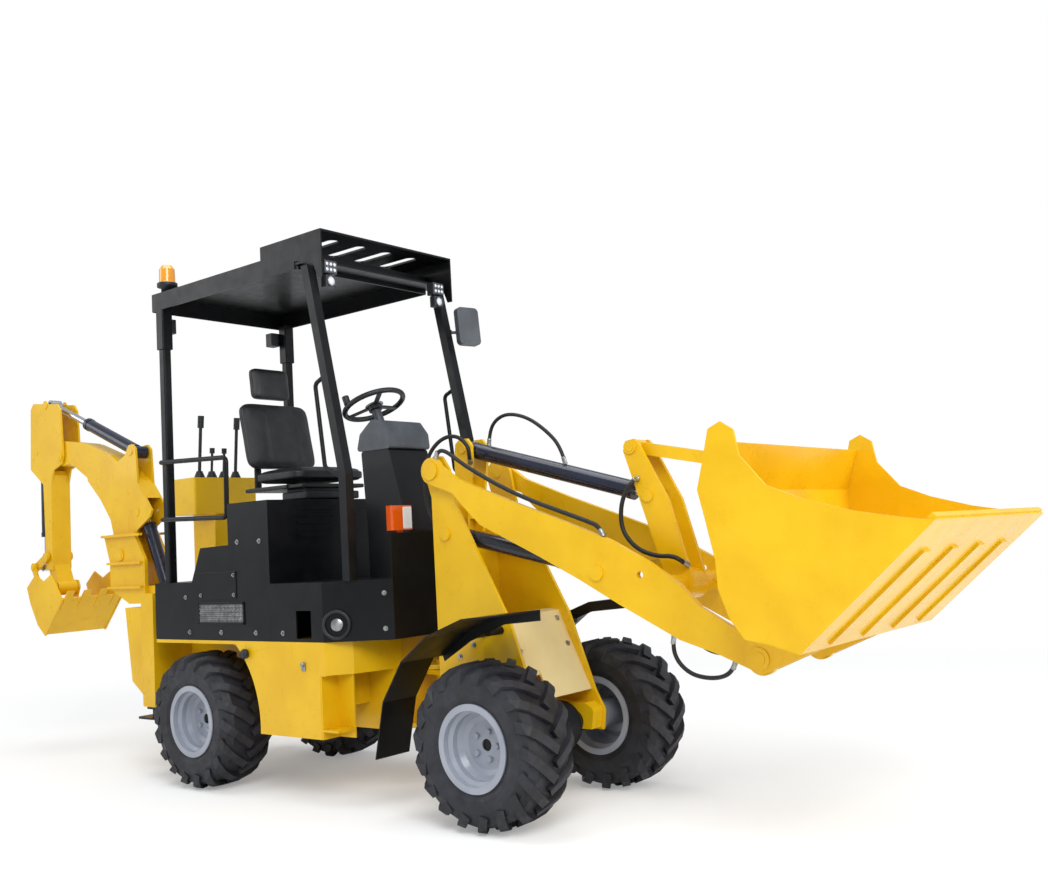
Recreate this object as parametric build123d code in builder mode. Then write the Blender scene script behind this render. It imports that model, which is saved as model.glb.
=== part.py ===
from build123d import *
import os
from math import atan2, cos, degrees, hypot, pi, radians, sin

# Small articulated backhoe loader. +X points forward, +Y to the left and +Z up, in millimetres.
# Side profiles are drawn in x from the front axle's line and z from the ground.

# Wheels and axles
wheelbase = 1832
front_axle_x = 1065            # the front axle lies this far ahead of the origin
tyre_radius = 330              # to the tips of the lugs
tyre_width = 278
track_half = 416               # from the centreline to the middle of a tyre
rim_radius = 152
rim_flange = 172
rim_half_width = 126
rim_disc_set = 92              # the wheel disc stands this far in from the outer flange
rim_wall = 6
rim_well = 138                 # radius of the drop centre between the bead seats
rim_hole = 24
nut_circle = 56
hub_radius = 62
spindle_radius = 26
axle_radius = 48
running_gap = 0.3
carcass_radius = 304           # of the tyre's crown between the lugs
lug_count = 18                 # on each side of a tyre
lug_width = 36
lug_skew = radians(35)         # a lug's turn from straight across

# Rear frame and body
skirt_y = 500                  # outer face of the skirts and the body sides
deck_top = 720
deck_bottom = 704
skirt_bottom = 296
deck_rear = -wheelbase - 338
deck_front = -800
floor_z = 985
seat_box_z = 1375
panel = 10
nose_x = -605                  # front face of the body
nose_y = 330

# Articulation
pivot_x = -640
pivot_pin = 30

# Loader
arm_pivot_x = -420
arm_pivot_z = 1445
bucket_pin_x = 1112
bucket_pin_z = 668
arm_outer_y = 251
arm_plate = 25
tower_outer_y = 216
tower_plate = 16
bucket_half = 587
bucket_plate = 10

# Hoe
hoe_y = -150
kingpin_x = -2740
boom_pin_x = -2925
boom_pin_z = 1165
dipper_pin_x = -3625
dipper_pin_z = 1800
hoe_pin_x = -3700
hoe_pin_z = 985
boom_half = 56
dipper_half = 62
hoe_bucket_half = 200

# Pins, rods and the play beside them
pin_radius = 18
side_play = 5.5


def side(y):
    """Sketch plane seen from the right: x forward from the front axle, y up from the ground."""
    return Plane(origin=(front_axle_x, y, 0), x_dir=(1, 0, 0), z_dir=(0, -1, 0))


def level(z):
    """Sketch plane seen from above, at height z."""
    return Plane(origin=(front_axle_x, 0, z), x_dir=(1, 0, 0), z_dir=(0, 0, 1))


def station(x):
    """Sketch plane seen from the front, x ahead of the front axle: x to the left, y up."""
    return Plane(origin=(front_axle_x + x, 0, 0), x_dir=(0, 1, 0), z_dir=(1, 0, 0))


def slab(outline, y_low, y_high, mode=Mode.ADD, corner=0):
    """Flat plate with its outline in side view, from y_low to y_high."""
    with BuildSketch(side(y_high)) as profile:
        with BuildLine():
            Polyline(*outline, close=True)
        make_face()
        if corner:
            fillet(profile.vertices(), corner)
    extrude(profile.sketch, amount=y_high - y_low, mode=mode)


def slab_pair(outline, y_low, y_high, mode=Mode.ADD, corner=0):
    """The same plate on the left and on the right of the centreline."""
    slab(outline, y_low, y_high, mode, corner)
    slab(outline, -y_high, -y_low, mode, corner)


def deck(outline, z_low, z_high, mode=Mode.ADD, corner=0):
    """Flat plate with its outline in plan, from z_low to z_high."""
    with BuildSketch(level(z_low)) as profile:
        with BuildLine():
            Polyline(*outline, close=True)
        make_face()
        if corner:
            fillet(profile.vertices(), corner)
    extrude(profile.sketch, amount=z_high - z_low, mode=mode)


def block(x_low, x_high, y_low, y_high, z_low, z_high, mode=Mode.ADD, corner=0):
    """Box between two corners, its upright edges rounded by corner."""
    outline = [(x_low, y_low), (x_high, y_low), (x_high, y_high), (x_low, y_high)]
    deck(outline, z_low, z_high, mode, corner)


def cross_round(x, z, radius, y_low, y_high, mode=Mode.ADD):
    """Round bar across the machine, from y_low to y_high."""
    with BuildSketch(side(y_high)) as disc:
        with Locations((x, z)):
            Circle(radius)
    extrude(disc.sketch, amount=y_high - y_low, mode=mode)


def cross_pair(x, z, radius, y_low, y_high, mode=Mode.ADD):
    """The same round bar on both sides of the centreline."""
    cross_round(x, z, radius, y_low, y_high, mode)
    cross_round(x, z, radius, -y_high, -y_low, mode)


def upright(x, y, radius, z_low, z_high, mode=Mode.ADD):
    """Upright round bar."""
    with BuildSketch(level(z_low)) as disc:
        with Locations((x, y)):
            Circle(radius)
    extrude(disc.sketch, amount=z_high - z_low, mode=mode)


def turn(start, end):
    """Angle of the line from start to end in side view, in degrees above forward."""
    return degrees(atan2(end[1] - start[1], end[0] - start[0]))


def along(start, end, distance):
    """Point on the line from start towards end, at distance from start."""
    span = hypot(end[0] - start[0], end[1] - start[1])
    share = distance / span
    return (start[0] + (end[0] - start[0]) * share, start[1] + (end[1] - start[1]) * share)


def bar(start, end, radius, y, mode=Mode.ADD):
    """Round bar in a fore and aft plane, from start to end in side view."""
    reach = hypot(end[0] - start[0], end[1] - start[1])
    heading = Vector(end[0] - start[0], 0, end[1] - start[1])
    base = Plane(origin=(front_axle_x + start[0], y, start[1]), x_dir=(0, 1, 0), z_dir=heading)
    with BuildSketch(base) as disc:
        Circle(radius)
    extrude(disc.sketch, amount=reach, mode=mode)


def tube_run(points, radius, bend):
    """Bent tube through points given as x from the front axle, y and z."""
    places = [(front_axle_x + x, y, z) for x, y, z in points]
    with BuildLine() as path:
        if len(places) == 2:
            Line(*places)
        else:
            FilletPolyline(*places, radius=bend)
    start = path.line @ 0
    with BuildSketch(Plane(origin=start, z_dir=path.line % 0)) as disc:
        Circle(radius)
    sweep(disc.sketch, path=path.line)


def eye(place, radius, bore, y_low, y_high):
    """Round eye with its bore, across the machine."""
    cross_round(place[0], place[1], radius, y_low, y_high)
    cross_round(place[0], place[1], bore, y_low, y_high, Mode.SUBTRACT)


def save(piece, name):
    """Label a finished piece and write it."""
    piece.label = name
    export_step(piece, f"parts/{name}.step")


os.makedirs("parts", exist_ok=True)

# Wheels: a tyre and a rim with its recessed disc on each hub
wheel_places = {
    "front_left": (0, 1),
    "front_right": (0, -1),
    "rear_left": (-wheelbase, 1),
    "rear_right": (-wheelbase, -1),
}
disc_y = rim_half_width - rim_disc_set
hub_inner = -track_half + 300


def wheel_plane(x, hand):
    """Plane through a wheel's axis, seen from behind the wheel: x outwards, y up from the axis."""
    return Plane(
        origin=(front_axle_x + x, hand * track_half, tyre_radius),
        x_dir=(0, hand, 0),
        z_dir=(hand, 0, 0),
    )


# One lug at the top of a tyre that turns on the Y axis, from its centre line out over the shoulder
shoulder = tyre_width / 2
lug_plane = Plane(origin=(0, 0, 0), x_dir=(-sin(lug_skew), cos(lug_skew), 0),
                  z_dir=(cos(lug_skew), sin(lug_skew), 0))
with BuildPart() as lug:
    with BuildSketch(lug_plane) as lug_outline:
        with BuildLine():
            Polyline(
                (2, carcass_radius - 20),
                (-4, tyre_radius - 1.5),
                (62, tyre_radius - 4),
                (115, tyre_radius - 14),
                (150, tyre_radius - 32),
                (182, 262),
                (186, 236),
                (150, 236),
                (120, carcass_radius - 30),
                close=True,
            )
        make_face()
    extrude(lug_outline.sketch, amount=lug_width / 2, both=True)
    with Locations((0, shoulder / 2 - 20, tyre_radius)):
        Box(tyre_radius, shoulder + 40, tyre_radius, mode=Mode.INTERSECT)

# The tyre with its lugs staggered from side to side, about the same axis
lug_step = 360 / lug_count
with BuildPart() as tyre:
    with BuildSketch(Plane.YZ) as section:
        with BuildLine():
            Polyline(
                (rim_half_width - rim_wall - running_gap, rim_radius + running_gap),
                (rim_half_width - rim_wall - running_gap, rim_flange + 6),
                (shoulder - 8, rim_flange + 26),
                (shoulder - 3, 246),
                (shoulder - 14, 286),
                (shoulder - 46, carcass_radius),
                (46 - shoulder, carcass_radius),
                (14 - shoulder, 286),
                (3 - shoulder, 246),
                (8 - shoulder, rim_flange + 26),
                (rim_wall + running_gap - rim_half_width, rim_flange + 6),
                (rim_wall + running_gap - rim_half_width, rim_radius + running_gap),
                close=True,
            )
        make_face()
    revolve(section.sketch, axis=Axis.Y)
    for index in range(lug_count):
        add(lug.part, rotation=(0, lug_step * index, 0))
        add(mirror(lug.part, about=Plane.XZ, mode=Mode.PRIVATE), rotation=(0, lug_step * (index + 0.5), 0))

for place, (axle_x, hand) in wheel_places.items():
    plane = wheel_plane(axle_x, hand)
    spin = Axis(plane.origin, (0, 1, 0))
    with BuildPart() as placed_tyre:
        with Locations(plane.origin):
            add(tyre.part)
    save(placed_tyre.part, f"{place}_tyre")

    with BuildPart() as rim:
        with BuildSketch(plane) as section:
            with BuildLine():
                Polyline(
                    (-rim_half_width, rim_flange),
                    (-rim_half_width + rim_wall, rim_flange),
                    (-rim_half_width + rim_wall, rim_radius),
                    (-rim_half_width + 28, rim_radius),
                    (-rim_half_width + 40, rim_well),
                    (rim_half_width - 42, rim_well),
                    (rim_half_width - 30, rim_radius),
                    (rim_half_width - rim_wall, rim_radius),
                    (rim_half_width - rim_wall, rim_flange),
                    (rim_half_width, rim_flange),
                    (rim_half_width, rim_radius - rim_wall),
                    (rim_half_width - 27, rim_radius - rim_wall),
                    (rim_half_width - 39, rim_well - rim_wall),
                    (disc_y + 28, rim_well - rim_wall),
                    (disc_y + 8, rim_well - 22),
                    (disc_y, rim_well - 42),
                    (disc_y, rim_hole),
                    (disc_y - rim_wall, rim_hole),
                    (disc_y - rim_wall, spindle_radius + running_gap),
                    (hub_inner, spindle_radius + running_gap),
                    (hub_inner, hub_radius),
                    (disc_y - 12, hub_radius),
                    (disc_y - 12, rim_well - 42),
                    (disc_y, rim_well - 20),
                    (disc_y - 12, rim_well - rim_wall),
                    (-rim_half_width + 43, rim_well - rim_wall),
                    (-rim_half_width + 31, rim_radius - rim_wall),
                    (-rim_half_width, rim_radius - rim_wall),
                    close=True,
                )
            make_face()
        revolve(section.sketch, axis=spin)
        disc_face = Plane(origin=plane.origin + Vector(0, hand * disc_y, 0), x_dir=(1, 0, 0), z_dir=(0, hand, 0))
        with BuildSketch(disc_face) as nuts:
            with PolarLocations(nut_circle, 5):
                RegularPolygon(12, 6)
        extrude(nuts.sketch, amount=12)
    save(rim.part, f"{place}_rim")


def make_axle(x, name, case_offset):
    """Drive axle: tube, differential case and the two spindles."""
    with BuildPart() as axle:
        tube_end = track_half + hub_inner - 6
        cross_round(x, tyre_radius, axle_radius, -tube_end, tube_end)
        spindle_end = track_half + disc_y - rim_wall - 1
        cross_round(x, tyre_radius, spindle_radius, -spindle_end, spindle_end)
        with BuildSketch(side(case_offset + 70)) as case:
            with Locations((x, tyre_radius)):
                Circle(104)
        extrude(case.sketch, amount=140)
        fillet(axle.edges().filter_by(GeomType.CIRCLE).filter_by(lambda e: abs(e.radius - 104) < 1), 36)
    save(axle.part, name)


make_axle(0, "front_axle", 0)
make_axle(-wheelbase, "rear_axle", 0)


# Rear frame: deck, skirts with their wheel arches, centre box, hinge plates and the hoe's tower
arch_radius = 490
arch_top_x = -wheelbase + (arch_radius ** 2 - (deck_bottom - tyre_radius) ** 2) ** 0.5
arch_low_x = -wheelbase + (arch_radius ** 2 - (skirt_bottom - tyre_radius) ** 2) ** 0.5
arch_mid = radians(22)
band_bottom = 575
step_x = -915
step_y = 400
band_front = -880
box_y = 207
box_wall = 12
box_rear = -wheelbase - 568
box_front = -745
box_bottom = 300
box_rear_bottom = 392
tower_half = 100
tower_top = 862
leg_box_x = (box_rear, box_rear + 110)
leg_box_y = (340, 440)
leg_box_z = (360, 950)
leg_box_wall = 8
hinge_upper = (560, 580)
hinge_lower = (300, 320)
kingpin_radius = 26

with BuildPart() as rear_chassis:
    deck([(deck_rear, -skirt_y), (band_front, -skirt_y), (deck_front, -step_y), (-735, -170),
          (-735, 170), (deck_front, step_y), (band_front, skirt_y), (deck_rear, skirt_y)],
         deck_bottom, deck_top)
    block(-1800, -1385, -165, 165, deck_bottom - 1, deck_top + 1, Mode.SUBTRACT)
    for y_low in (-skirt_y, skirt_y - panel):
        with BuildSketch(side(y_low + panel)) as skirt:
            with BuildLine():
                arch = ThreePointArc(
                    (arch_top_x, deck_bottom),
                    (-wheelbase + arch_radius * cos(arch_mid), tyre_radius + arch_radius * sin(arch_mid)),
                    (arch_low_x, skirt_bottom),
                )
                Polyline(arch @ 1, (step_x, skirt_bottom), (step_x, band_bottom),
                         (band_front, band_bottom), (band_front, deck_bottom), arch @ 0)
            make_face()
        extrude(skirt.sketch, amount=panel)
    deck([(band_front, -skirt_y), (deck_front, -step_y), (-735, -170), (-735, 170),
          (deck_front, step_y), (band_front, skirt_y), (band_front, skirt_y - panel),
          (deck_front - 8, step_y - 6), (-745, 168), (-745, -168),
          (deck_front - 8, -step_y + 6), (band_front, -skirt_y + panel)],
         band_bottom, deck_bottom)
    for hand in (-1, 1):
        low, high = sorted((hand * step_y, hand * (skirt_y - 2)))
        block(step_x, deck_front - 10, low, high, 330, 340)
        low, high = sorted((hand * (step_y - 6), hand * (skirt_y - 2)))
        block(step_x, band_front, low, high, band_bottom - 4, band_bottom + 8)
        block(step_x, step_x + 8, low, high, skirt_bottom, band_bottom)
        low, high = sorted((hand * step_y, hand * (step_y - 8)))
        block(step_x, deck_front - 10, low, high, skirt_bottom, band_bottom)
    box_side = [(box_rear, box_rear_bottom), (-1600, box_rear_bottom), (-1540, box_bottom),
                (box_front, box_bottom), (box_front, deck_bottom), (box_rear, deck_bottom)]
    slab_pair(box_side, box_y - box_wall, box_y)
    block(-1540, box_front, -box_y, box_y, box_bottom, box_bottom + 10)
    block(box_rear, -1960, -box_y, box_y, box_rear_bottom, box_rear_bottom + 10)
    block(box_front - box_wall, box_front, -box_y, box_y, box_bottom, deck_bottom)
    for x in (step_x, -1330):
        block(x - 4, x + 4, -skirt_y + panel, -box_y, 420, deck_bottom)
        block(x - 4, x + 4, box_y, skirt_y - panel, 420, deck_bottom)
    saddle_half = 52
    for hand in (-1, 1):
        low, high = sorted((hand * (box_y - 24), hand * box_y))
        block(-wheelbase - saddle_half, -wheelbase + saddle_half, low, high,
              tyre_radius + axle_radius + running_gap, box_rear_bottom + 10)
    for z_low, z_high in (hinge_upper, hinge_lower):
        with BuildSketch(level(z_low)) as plate:
            with BuildLine():
                Polyline((box_front, -150), (pivot_x, -88), (pivot_x, 88), (box_front, 150), close=True)
            make_face()
            with Locations((pivot_x, 0)):
                Circle(88)
        extrude(plate.sketch, amount=z_high - z_low)
    upright(pivot_x, 0, pivot_pin, hinge_lower[0] - 12, hinge_upper[1] + 14)
    tower = [(box_rear + 60, box_rear_bottom), (kingpin_x + 240, 330), (kingpin_x + 178, 290),
             (kingpin_x - 66, 452), (kingpin_x - 122, tower_top), (kingpin_x + 138, tower_top),
             (kingpin_x + 220, deck_bottom), (box_rear + 60, deck_bottom)]
    slab(tower, hoe_y - tower_half, hoe_y + tower_half)
    upright(kingpin_x, hoe_y, 62, tower_top, tower_top + 8)
    upright(kingpin_x, hoe_y, kingpin_radius, tower_top, 972)
    block(leg_box_x[0], leg_box_x[1], -leg_box_y[0], leg_box_y[0], 560, 690)
    for hand in (-1, 1):
        low, high = sorted((hand * leg_box_y[0], hand * leg_box_y[1]))
        block(leg_box_x[0], leg_box_x[1], low, high, leg_box_z[0], leg_box_z[1])
        block(leg_box_x[0] + leg_box_wall, leg_box_x[1] - leg_box_wall, low + leg_box_wall,
              high - leg_box_wall, leg_box_z[0], leg_box_z[1] - leg_box_wall, Mode.SUBTRACT)
save(rear_chassis.part, "rear_chassis")

# Stabiliser legs: a square leg with a guide collar inside each box and a foot below
leg_play = 5.5
guide_play = 0.4
foot_half = 75
foot_low = 300
leg_stroke = 320
for hand, name in ((1, "left"), (-1, "right")):
    x_in = (leg_box_x[0] + leg_box_wall, leg_box_x[1] - leg_box_wall)
    y_in = sorted((hand * (leg_box_y[0] + leg_box_wall), hand * (leg_box_y[1] - leg_box_wall)))
    leg_mid_x = sum(x_in) / 2
    leg_mid_y = sum(y_in) / 2
    with BuildPart() as leg:
        block(x_in[0] + leg_play, x_in[1] - leg_play, y_in[0] + leg_play, y_in[1] - leg_play,
              foot_low + 46, leg_box_z[1] - leg_box_wall - 12)
        block(x_in[0] + guide_play, x_in[1] - guide_play, y_in[0] + guide_play, y_in[1] - guide_play,
              leg_box_z[0] + leg_stroke + 20, leg_box_z[0] + leg_stroke + 80)
        upright(leg_mid_x, leg_mid_y, 26, foot_low + 10, foot_low + 46)
        block(leg_mid_x - foot_half, leg_mid_x + foot_half, leg_mid_y - foot_half,
              leg_mid_y + foot_half, foot_low, foot_low + 10, corner=18)
    save(leg.part, f"stabiliser_leg_{name}")

# Engine: one plain block under the seat box
engine_x = (-1780, -1345)
engine_z = (430, 980)
with BuildPart() as engine_block:
    block(engine_x[0], engine_x[1], -box_y + box_wall + running_gap, box_y - box_wall - running_gap,
          engine_z[0], deck_bottom - 4)
    block(engine_x[0], engine_x[1] - 60, -150, 150, deck_bottom - 4, engine_z[1])
save(engine_block.part, "engine_block")

# Body sides: the stepped black covers on the deck, hollow and open below
body_steps = [(deck_rear, deck_top), (deck_rear, 1003), (-1850, 1003), (-1772, 1170), (-1546, 1176),
              (-1546, seat_box_z), (-1240, seat_box_z), (-1240, deck_top)]
with BuildPart() as rear_body:
    slab(body_steps, -skirt_y, skirt_y)
    inner_steps = [(deck_rear + panel, deck_top), (deck_rear + panel, 1003 - panel),
                   (-1850 + 7, 1003 - panel), (-1772 + 7, 1170 - panel), (-1546 + panel, 1176 - panel),
                   (-1546 + panel, seat_box_z - panel), (-1240 - panel, seat_box_z - panel),
                   (-1240 - panel, deck_top)]
    slab(inner_steps, -skirt_y + panel, skirt_y - panel, Mode.SUBTRACT)
    for hand in (-1, 1):
        low, high = sorted((hand * (skirt_y - panel), hand * (skirt_y - panel - 6)))
        block(-1860, -1560, low, high, 760, 900)
    for row in range(5):
        block(-1242, -1236, -330, 330, 1190 + 34 * row, 1206 + 34 * row)
save(rear_body.part, "rear_body")

# Operator's floor with its tapered front corners and the nose panel
with BuildPart() as front_body:
    plan = [(-1239.7, -skirt_y), (band_front, -skirt_y), (nose_x, -nose_y), (nose_x, nose_y),
            (band_front, skirt_y), (-1239.7, skirt_y)]
    deck(plan, deck_top, floor_z)
    inner_plan = [(-1239.7 + 8, -skirt_y + 8), (band_front - 2, -skirt_y + 8), (nose_x - 8, -nose_y + 4),
                  (nose_x - 8, nose_y - 4), (band_front - 2, skirt_y - 8), (-1239.7 + 8, skirt_y - 8)]
    deck(inner_plan, deck_top, floor_z - 8, Mode.SUBTRACT)
    block(nose_x - 8, nose_x, -nose_y, nose_y, floor_z, 1186)
    block(-1062, -960, -skirt_y - 1, -skirt_y + 9, 735, 860, Mode.SUBTRACT)
save(front_body.part, "front_body")

# Canopy: four posts, the roof's rim and cross rails
post = 46
rear_post_x = -2160
rear_post_y = 409
front_post_y = 434
roof_low = 2440
roof_top = 2532
roof_x = (-2235, -1035)
roof_y = 440
post_knee_z = 1460
with BuildPart() as canopy_frame:
    for hand in (-1, 1):
        block(rear_post_x - post / 2, rear_post_x + post / 2, hand * rear_post_y - post / 2,
              hand * rear_post_y + post / 2, 1003, roof_low, corner=7)
        block(rear_post_x - 31, rear_post_x + 31, hand * rear_post_y - 31, hand * rear_post_y + 31,
              roof_low - 210, roof_low, corner=7)
        front_line = [(-765 - post / 2, floor_z), (-765 + post / 2, floor_z), (-765 + post / 2, post_knee_z),
                      (-965 + post / 2, roof_low), (-965 - post / 2, roof_low), (-765 - post / 2, post_knee_z)]
        slab(front_line, hand * front_post_y - post / 2, hand * front_post_y + post / 2)
save(canopy_frame.part, "canopy_frame")

visor_x = (-1300, -862)
visor_z = 2597
slot_length = 250
with BuildPart() as canopy_roof:
    block(roof_x[0], roof_x[1], -roof_y, roof_y, roof_low, roof_top, corner=20)
    block(roof_x[0] + 8, roof_x[1] - 8, -roof_y + 8, roof_y - 8, roof_low, roof_top - 8, Mode.SUBTRACT)
    block(roof_x[1] - 8, -930, -roof_y, roof_y, roof_low + 20, roof_low + 30)
    block(visor_x[0], visor_x[1], -roof_y, roof_y, visor_z - 10, visor_z)
    with BuildSketch(level(visor_z - 10)) as slots:
        with GridLocations(0, 175, 1, 4):
            with Locations((-1075, 0)):
                SlotOverall(slot_length, 62)
    extrude(slots.sketch, amount=10, mode=Mode.SUBTRACT)
    slab_pair([(visor_x[0], visor_z), (visor_x[1], visor_z), (visor_x[1], 2370), (-890, 2370),
               (-925, 2455), (visor_x[0], roof_top - 6)], roof_y - 8, roof_y)
    for hand in (-1, 1):
        block(rear_post_x - 31, rear_post_x + 31, hand * rear_post_y - 31, hand * rear_post_y + 31,
              roof_low, roof_low + 12)
save(canopy_roof.part, "canopy_roof")

# Seat: suspension base, cushion, backrest and headrest
seat_x = (-1760, -1330)
with BuildPart() as seat_base:
    block(-1530, -1340, -180, 180, seat_box_z, 1440, corner=20)
    block(-1700, -1340, -210, 210, 1440, 1462, corner=20)
    for hand in (-1, 1):
        block(-1765, -1700, hand * 120 - 20, hand * 120 + 20, 1440, 1700)
save(seat_base.part, "seat_base")
with BuildPart() as seat_cushion:
    block(-1690, -1335, -235, 235, 1462.3, 1555, corner=40)
save(seat_cushion.part, "seat_cushion")
with BuildPart() as seat_backrest:
    slab([(-1762, 1556), (-1692, 1556), (-1760, 1925), (-1840, 1915)], -225, 225, corner=12)
    block(-1766, -1699.7, -140.3, -99.7, 1430, 1700.3, Mode.SUBTRACT)
    block(-1766, -1699.7, 99.7, 140.3, 1430, 1700.3, Mode.SUBTRACT)
save(seat_backrest.part, "seat_backrest")
with BuildPart() as headrest:
    slab([(-1845, 1940), (-1775, 1945), (-1795, 2115), (-1855, 2110)], -125, 125, corner=16)
    for hand in (-1, 1):
        bar((-1800, 1900), (-1806, 1960), 7, hand * 60)
    add(seat_backrest.part, mode=Mode.SUBTRACT)
save(headrest.part, "headrest")

# Steering: pedestal, instrument cowl, column and wheel
wheel_tilt = radians(22.5)
wheel_centre = (-1018, 1823)
column_dir = (sin(wheel_tilt), -cos(wheel_tilt))
column_top = (wheel_centre[0] + column_dir[0] * 34, wheel_centre[1] + column_dir[1] * 34)
column_foot = (wheel_centre[0] + column_dir[0] * 420, wheel_centre[1] + column_dir[1] * 420)
with BuildPart() as steering_console:
    slab([(-960, floor_z), (-660, floor_z), (-690, 1200), (-800, 1585), (-985, 1585), (-960, 1200)],
         -130, 130, corner=14)
save(steering_console.part, "steering_console")
with BuildPart() as instrument_cowl:
    slab([(-1010, 1585.3), (-782, 1585.3), (-790, 1660), (-840, 1722), (-900, 1732), (-985, 1668)],
         -135, 135, corner=16)
    bar(along(column_top, column_foot, 150), column_top, 24, 0)
    bar(column_top, along(column_top, column_foot, -24), 12, 0)
    cross_end = along(column_top, column_foot, 150)
    block(cross_end[0] - 60, cross_end[0] + 30, -60, 60, 1590, 1640)
save(instrument_cowl.part, "instrument_cowl")
wheel_rim_radius = 148
wheel_rim_section = 13
with BuildPart() as steering_wheel:
    wheel_face = Plane(origin=(front_axle_x + wheel_centre[0], 0, wheel_centre[1]),
                       x_dir=(cos(wheel_tilt), 0, sin(wheel_tilt)),
                       z_dir=(-sin(wheel_tilt), 0, cos(wheel_tilt)))
    with BuildSketch(Plane(origin=wheel_face.origin, x_dir=wheel_face.x_dir,
                           z_dir=wheel_face.y_dir)) as grip:
        with Locations((wheel_rim_radius, 0)):
            Circle(wheel_rim_section)
    revolve(grip.sketch, axis=Axis(wheel_face.origin, wheel_face.z_dir))
    with BuildSketch(wheel_face.offset(-30)) as hub:
        Circle(34)
    extrude(hub.sketch, amount=28)
    for angle in (90, 210, 330):
        spoke_end = Vector(cos(radians(angle)), sin(radians(angle)), 0)
        with BuildSketch(wheel_face.offset(-12)) as spoke:
            with Locations(Location((80 * spoke_end.X, 80 * spoke_end.Y, 0), angle)):
                Rectangle(132, 22)
        extrude(spoke.sketch, amount=8)
    with BuildSketch(wheel_face.offset(-31)) as hub_bore:
        Circle(12.05)
    extrude(hub_bore.sketch, amount=23, mode=Mode.SUBTRACT)
    with BuildSketch(wheel_face.offset(10)) as knob:
        with Locations((-30, -wheel_rim_radius + 4)):
            Circle(17)
    extrude(knob.sketch, amount=42)
save(steering_wheel.part, "steering_wheel")

# Hoe controls: console on its pedestal, with boots and levers
with BuildPart() as hoe_console:
    block(-2450, -2225, -205, 205, 1360, 1560, corner=12)
    slab([(-2440, deck_bottom + 200), (-2260, deck_bottom + 200), (-2235, 1360), (-2440, 1360)], -70, 150)
    block(-2400, -2185, -70, 150, deck_bottom, deck_bottom + 200)
save(hoe_console.part, "hoe_console")
with BuildPart() as hoe_levers:
    for y in (-120, -40, 40, 120):
        with BuildSketch(level(1560)) as boot:
            with Locations((-2300, y)):
                Circle(32)
        extrude(boot.sketch, amount=40, taper=22)
    for y in (-120, 120):
        bar((-2300, 1590), (-2275, 1860), 9, y)
        bar((-2277, 1838), (-2270, 1905), 17, y)
    for y in (-40, 40):
        bar((-2300, 1590), (-2290, 1700), 7, y)
        bar((-2290, 1700), (-2288, 1730), 14, y)
save(hoe_levers.part, "hoe_levers")

# Handrails: the loop at the right rear post and the bars at both front posts
with BuildPart() as handrails:
    loop_y = -rear_post_y - post / 2 - 16
    tube_run([(rear_post_x, -rear_post_y - post / 2, 1628), (rear_post_x, loop_y - 14, 1628),
              (-1592, loop_y - 14, 1606), (-1600, loop_y - 14, 1312), (rear_post_x, loop_y - 14, 1330),
              (rear_post_x, -rear_post_y - post / 2, 1330)], 12, 26)
    for hand in (-1, 1):
        grab_y = hand * front_post_y
        tube_run([(-862 - 14, grab_y, 1915), (-945, grab_y, 1885), (-900, grab_y, 1500),
                  (-765 - post / 2 + 2, grab_y, 1440)], 10, 26)
    add(canopy_frame.part, mode=Mode.SUBTRACT)
save(handrails.part, "handrails")

# Lamps, beacon and mirror
with BuildPart() as work_lamps:
    for hand in (-1, 1):
        lamp_y = hand * (front_post_y - 70)
        block(-935, -885, lamp_y - 38, lamp_y + 38, 2400, 2462, corner=8)
        block(-925, -885, lamp_y - 30, lamp_y + 30, 2338, 2392, corner=8)
        block(-930, -905, lamp_y - 8, lamp_y + 8, 2390, roof_low + 20)
        low, high = sorted((hand * (rear_post_y - 31), hand * (rear_post_y - 90)))
        block(rear_post_x - 80, rear_post_x - 20, low, high, 2330, 2405, corner=8)
    add(canopy_roof.part, mode=Mode.SUBTRACT)
    add(canopy_frame.part, mode=Mode.SUBTRACT)
save(work_lamps.part, "work_lamps")
with BuildPart() as beacon:
    upright(-2150, -390, 26, roof_top, roof_top + 40)
    with BuildSketch(Plane(origin=(front_axle_x - 2150, -390, roof_top + 40), x_dir=(1, 0, 0),
                           z_dir=(0, -1, 0))) as dome:
        with BuildLine():
            Polyline((0, 0), (50, 0), (50, 14), (42, 22), (40, 92), (26, 112), (0, 118), close=True)
        make_face()
    revolve(dome.sketch, axis=Axis((front_axle_x - 2150, -390, 0), (0, 0, 1)))
save(beacon.part, "beacon")
with BuildPart() as mirror:
    mirror_y = front_post_y + post / 2
    bar((-930, 2215), (-905, 2222), 11, mirror_y + 11)
    tube_run([(-918, mirror_y + 8, 2218), (-850, mirror_y + 60, 2218)], 8, 5)
    with BuildSketch(Plane(origin=(front_axle_x - 850, mirror_y + 62, 2240), x_dir=(0.25, 0.97, 0),
                           z_dir=(0.97, -0.25, 0.1))) as glass:
        RectangleRounded(130, 200, 24)
    extrude(glass.sketch, amount=34)
save(mirror.part, "mirror")
with BuildPart() as front_lamps:
    for hand in (-1, 1):
        low, high = sorted((hand * 195, hand * 325))
        block(nose_x - 34, nose_x + 8, low, high, 1196, 1306, corner=10)
        block(nose_x - 18, nose_x - 8, low + 50, high - 50, 1150, 1196)
save(front_lamps.part, "front_lamps")


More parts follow.
